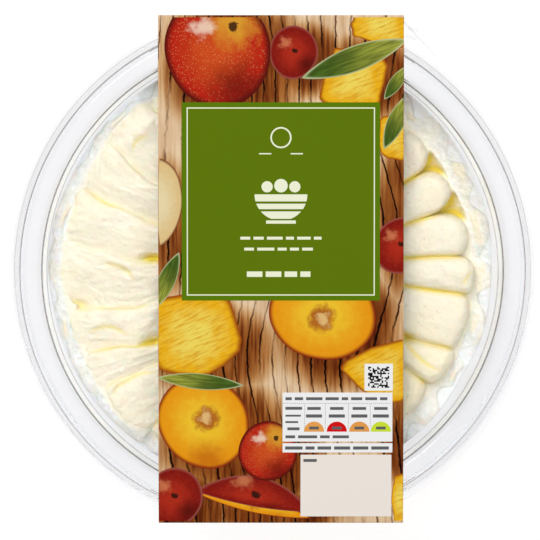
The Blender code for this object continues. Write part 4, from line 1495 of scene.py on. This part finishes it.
# Dotted rules between the cells of the upper label box: start and end in mm, then the size of their dots
INFO_RULES = (
    (3.5, -41.05, 36.9, -41.05), (10.0, -41.5, 10.0, -49.3), (16.4, -41.5, 16.4, -49.3),
    (23.6, -41.5, 23.6, -49.3), (30.4, -41.5, 30.4, -49.3))
RULE_DOT = 0.3
RULE_WIDTH = 0.14
CODE_CELLS = 14
CODE_CELL = 0.47
CODE_SHARE = 0.52
# Emblem of a footed bowl in mm: middle, rim and radius, its bands' depths below the rim, its fruit's
# places and radii, and its foot's top, bottom and half width
EMBLEM_X, EMBLEM_RIM, EMBLEM_RADIUS = 2.6, 24.0, 8.2
EMBLEM_BANDS = ((0.0, 2.2), (2.9, 4.6), (5.3, 7.6))
EMBLEM_FRUIT = ((-4.3, 1.75), (0.0, 2.1), (4.3, 1.75))
EMBLEM_FOOT = (15.9, 14.9, 4.6)
# Rows of plain bars: height of the middle, half width, bar height, seed
PANEL_ROWS = ((10.4, 12.6, 0.9, 2), (7.0, 11.4, 0.9, 12), (-0.8, 10.6, 1.7, 5))
# The ring's middle and its outer and inner radius, and the dashes beside it as boxes (mm)
PANEL_RING = (2.6, 41.6, 3.3, 2.8)
PANEL_DASHES = ((-4.2, -0.4, 36.4, 36.8), (5.6, 9.4, 36.4, 36.8))
# Half discs: middle (mm), name and colour, then their radius and foot
TRAFFIC_DISCS = (
    (12.9, "amber", (0.86, 0.38, 0.09)), (20.0, "red", (0.72, 0.006, 0.008)),
    (27.0, "second_amber", (0.84, 0.36, 0.08)), (33.7, "lime", (0.65, 0.8, 0.04)))
DISC_RADIUS = 3.15
DISC_FOOT = -49.9


def box_skin(left, right, low, high, layer):
    outline = np.array([(left, low), (right, low), (right, high), (left, high)])
    return ink_skin(outline, ((left + right) / 2, (low + high) / 2), layer, rings=1)


def arc_skin(x, y, radius, layer, whole=True):
    """A disc, or the upper half of one."""
    turn = np.arange(32) * math.pi / 16 if whole else np.linspace(0, math.pi, 25)
    middle = (x, y if whole else y + radius * 0.4)
    outline = np.stack([x + radius * np.cos(turn), y + radius * np.sin(turn)], 1)
    return ink_skin(outline, middle, layer, rings=1)


def plain_ink(name, colour):
    return print_material(name, colour)[0]


def word_bars(left, right, middle, height, seed, shortest=1.6, longest=6.0, space=0.9, layer=6):
    """A row of plain bars of uneven length."""
    chance = np.random.default_rng(seed)
    bars = []
    x = left
    while x < right - shortest:
        end = min(right, x + chance.uniform(shortest, longest))
        bars.append(box_skin(x, end, middle - height / 2, middle + height / 2, layer))
        x = end + space
    return bars


def print_panel():
    def inner_box(edge, layer):
        return box_skin(PANEL_LEFT + edge, PANEL_RIGHT - edge, PANEL_LOW + edge, PANEL_HIGH - edge, layer)

    printed("printed_panel_border", [inner_box(0.0, 4)], plain_ink("border_green", PANEL_BORDER))
    shapes = [inner_box(PANEL_MARGIN, 5)]
    for y, half, tall, seed in PANEL_ROWS:
        shapes += word_bars(EMBLEM_X - half, EMBLEM_X + half, y, tall, seed, 2.2, 5.5, 1.0, 7)
    for below, deep in EMBLEM_BANDS:
        down = np.linspace(below, deep, 5)
        wide = np.sqrt(EMBLEM_RADIUS ** 2 - down ** 2)
        right, left = (np.stack([EMBLEM_X + side * wide, EMBLEM_RIM - down], 1) for side in (1, -1))
        middle = (EMBLEM_X, EMBLEM_RIM - (below + deep) / 2)
        shapes.append(ink_skin(np.concatenate([right[::-1], left]), middle, 7, rings=1))
    for x, radius in EMBLEM_FRUIT:
        shapes.append(arc_skin(EMBLEM_X + x, EMBLEM_RIM + radius + 0.6, radius, 7))
    high_foot, low_foot, wide_foot = EMBLEM_FOOT
    shapes.append(box_skin(EMBLEM_X - wide_foot, EMBLEM_X + wide_foot, low_foot, high_foot, 7))
    x, y, outer, inner = PANEL_RING
    shapes.append(arc_skin(x, y, outer, 7))
    for dash in PANEL_DASHES:
        shapes.append(box_skin(*dash, 7))
    printed("printed_pale_lines", shapes, plain_ink("pale_line_ink", PANEL_PALE))
    green = [inner_box(PANEL_MARGIN + PANEL_LINE, 6), arc_skin(x, y, inner, 8)]
    printed("printed_panel", green, plain_ink("panel_green", PANEL_GREEN))


def dark_squares_tree():
    """A square grid of small plates, with some left out at random."""
    tree, given = new_tree(
        "dark_squares", Cells="Int", Cell="Float", Thick="Float", Seed="Int", Finish="Material")
    side = calc(tree, "MULTIPLY", calc(tree, "SUBTRACT", given["Cells"], 1.0), given["Cell"])
    grid = add_node(tree, "GeometryNodeMeshGrid", {
        "Size X": side, "Size Y": side, "Vertices X": given["Cells"], "Vertices Y": given["Cells"]})
    chosen = add_node(tree, "FunctionNodeRandomValue", {"Probability": CODE_SHARE, "Seed": given["Seed"]},
                      3, data_type="BOOLEAN")
    plate = add_node(tree, "GeometryNodeMeshCube", {
        "Size": combine(tree, given["Cell"], given["Cell"], given["Thick"])})
    close_tree(tree, add_node(tree, "GeometryNodeInstanceOnPoints", {
        "Points": grid, "Selection": chosen, "Instance": plate}), given["Finish"])
    return tree


def dotted_rule(x0, y0, x1, y1):
    """A row of small dots along or up the label."""
    count = int(math.hypot(x1 - x0, y1 - y0) / (2 * RULE_DOT))
    wide, tall = (RULE_DOT, RULE_WIDTH) if y0 == y1 else (RULE_WIDTH, RULE_DOT)
    places = [(x0 + (x1 - x0) * index / count, y0 + (y1 - y0) * index / count) for index in range(count)]
    return [box_skin(x - wide / 2, x + wide / 2, y - tall / 2, y + tall / 2, 6) for x, y in places]


def print_labels():
    boxes = [box_skin(*box, 5) for box in LABEL_BOXES]
    printed("printed_label_boxes", boxes, plain_ink("label_white", LABEL_WHITE))
    printed("printed_date_box", [box_skin(*DATE_BOX, 5)], plain_ink("label_beige", LABEL_BEIGE))
    grey = [
        box_skin(x - half, x + half, low, high, layer)
        for x, _, _ in TRAFFIC_DISCS for half, low, high, layer in DISC_BARS]
    for row in LABEL_ROWS:
        grey += word_bars(*row)
    for rule in INFO_RULES:
        grey += dotted_rule(*rule)
    printed("printed_grey_bars", grey, plain_ink("grey_bar_ink", LABEL_GREY))
    for x, name, colour in TRAFFIC_DISCS:
        disc = arc_skin(x, DISC_FOOT, DISC_RADIUS, 6, whole=False)
        printed("printed_" + name + "_disc", [disc], plain_ink(name + "_ink", colour))
    thick = INK_STEP * 2
    squares = grown("printed_dark_squares", dark_squares_tree(), {
        "Cells": CODE_CELLS, "Cell": CODE_CELL / 1000, "Thick": thick, "Seed": 4,
        "Finish": plain_ink("dark_square_ink", CODE_DARK)})
    left, right, low, high = CODE_BOX
    squares.data.transform(Matrix.Translation((
        (left + right) / 2000, (low + high) / 2000, card_top + 6 * INK_STEP - thick / 2)))
    fit(squares, "printed_card")


print_panel()
print_labels()
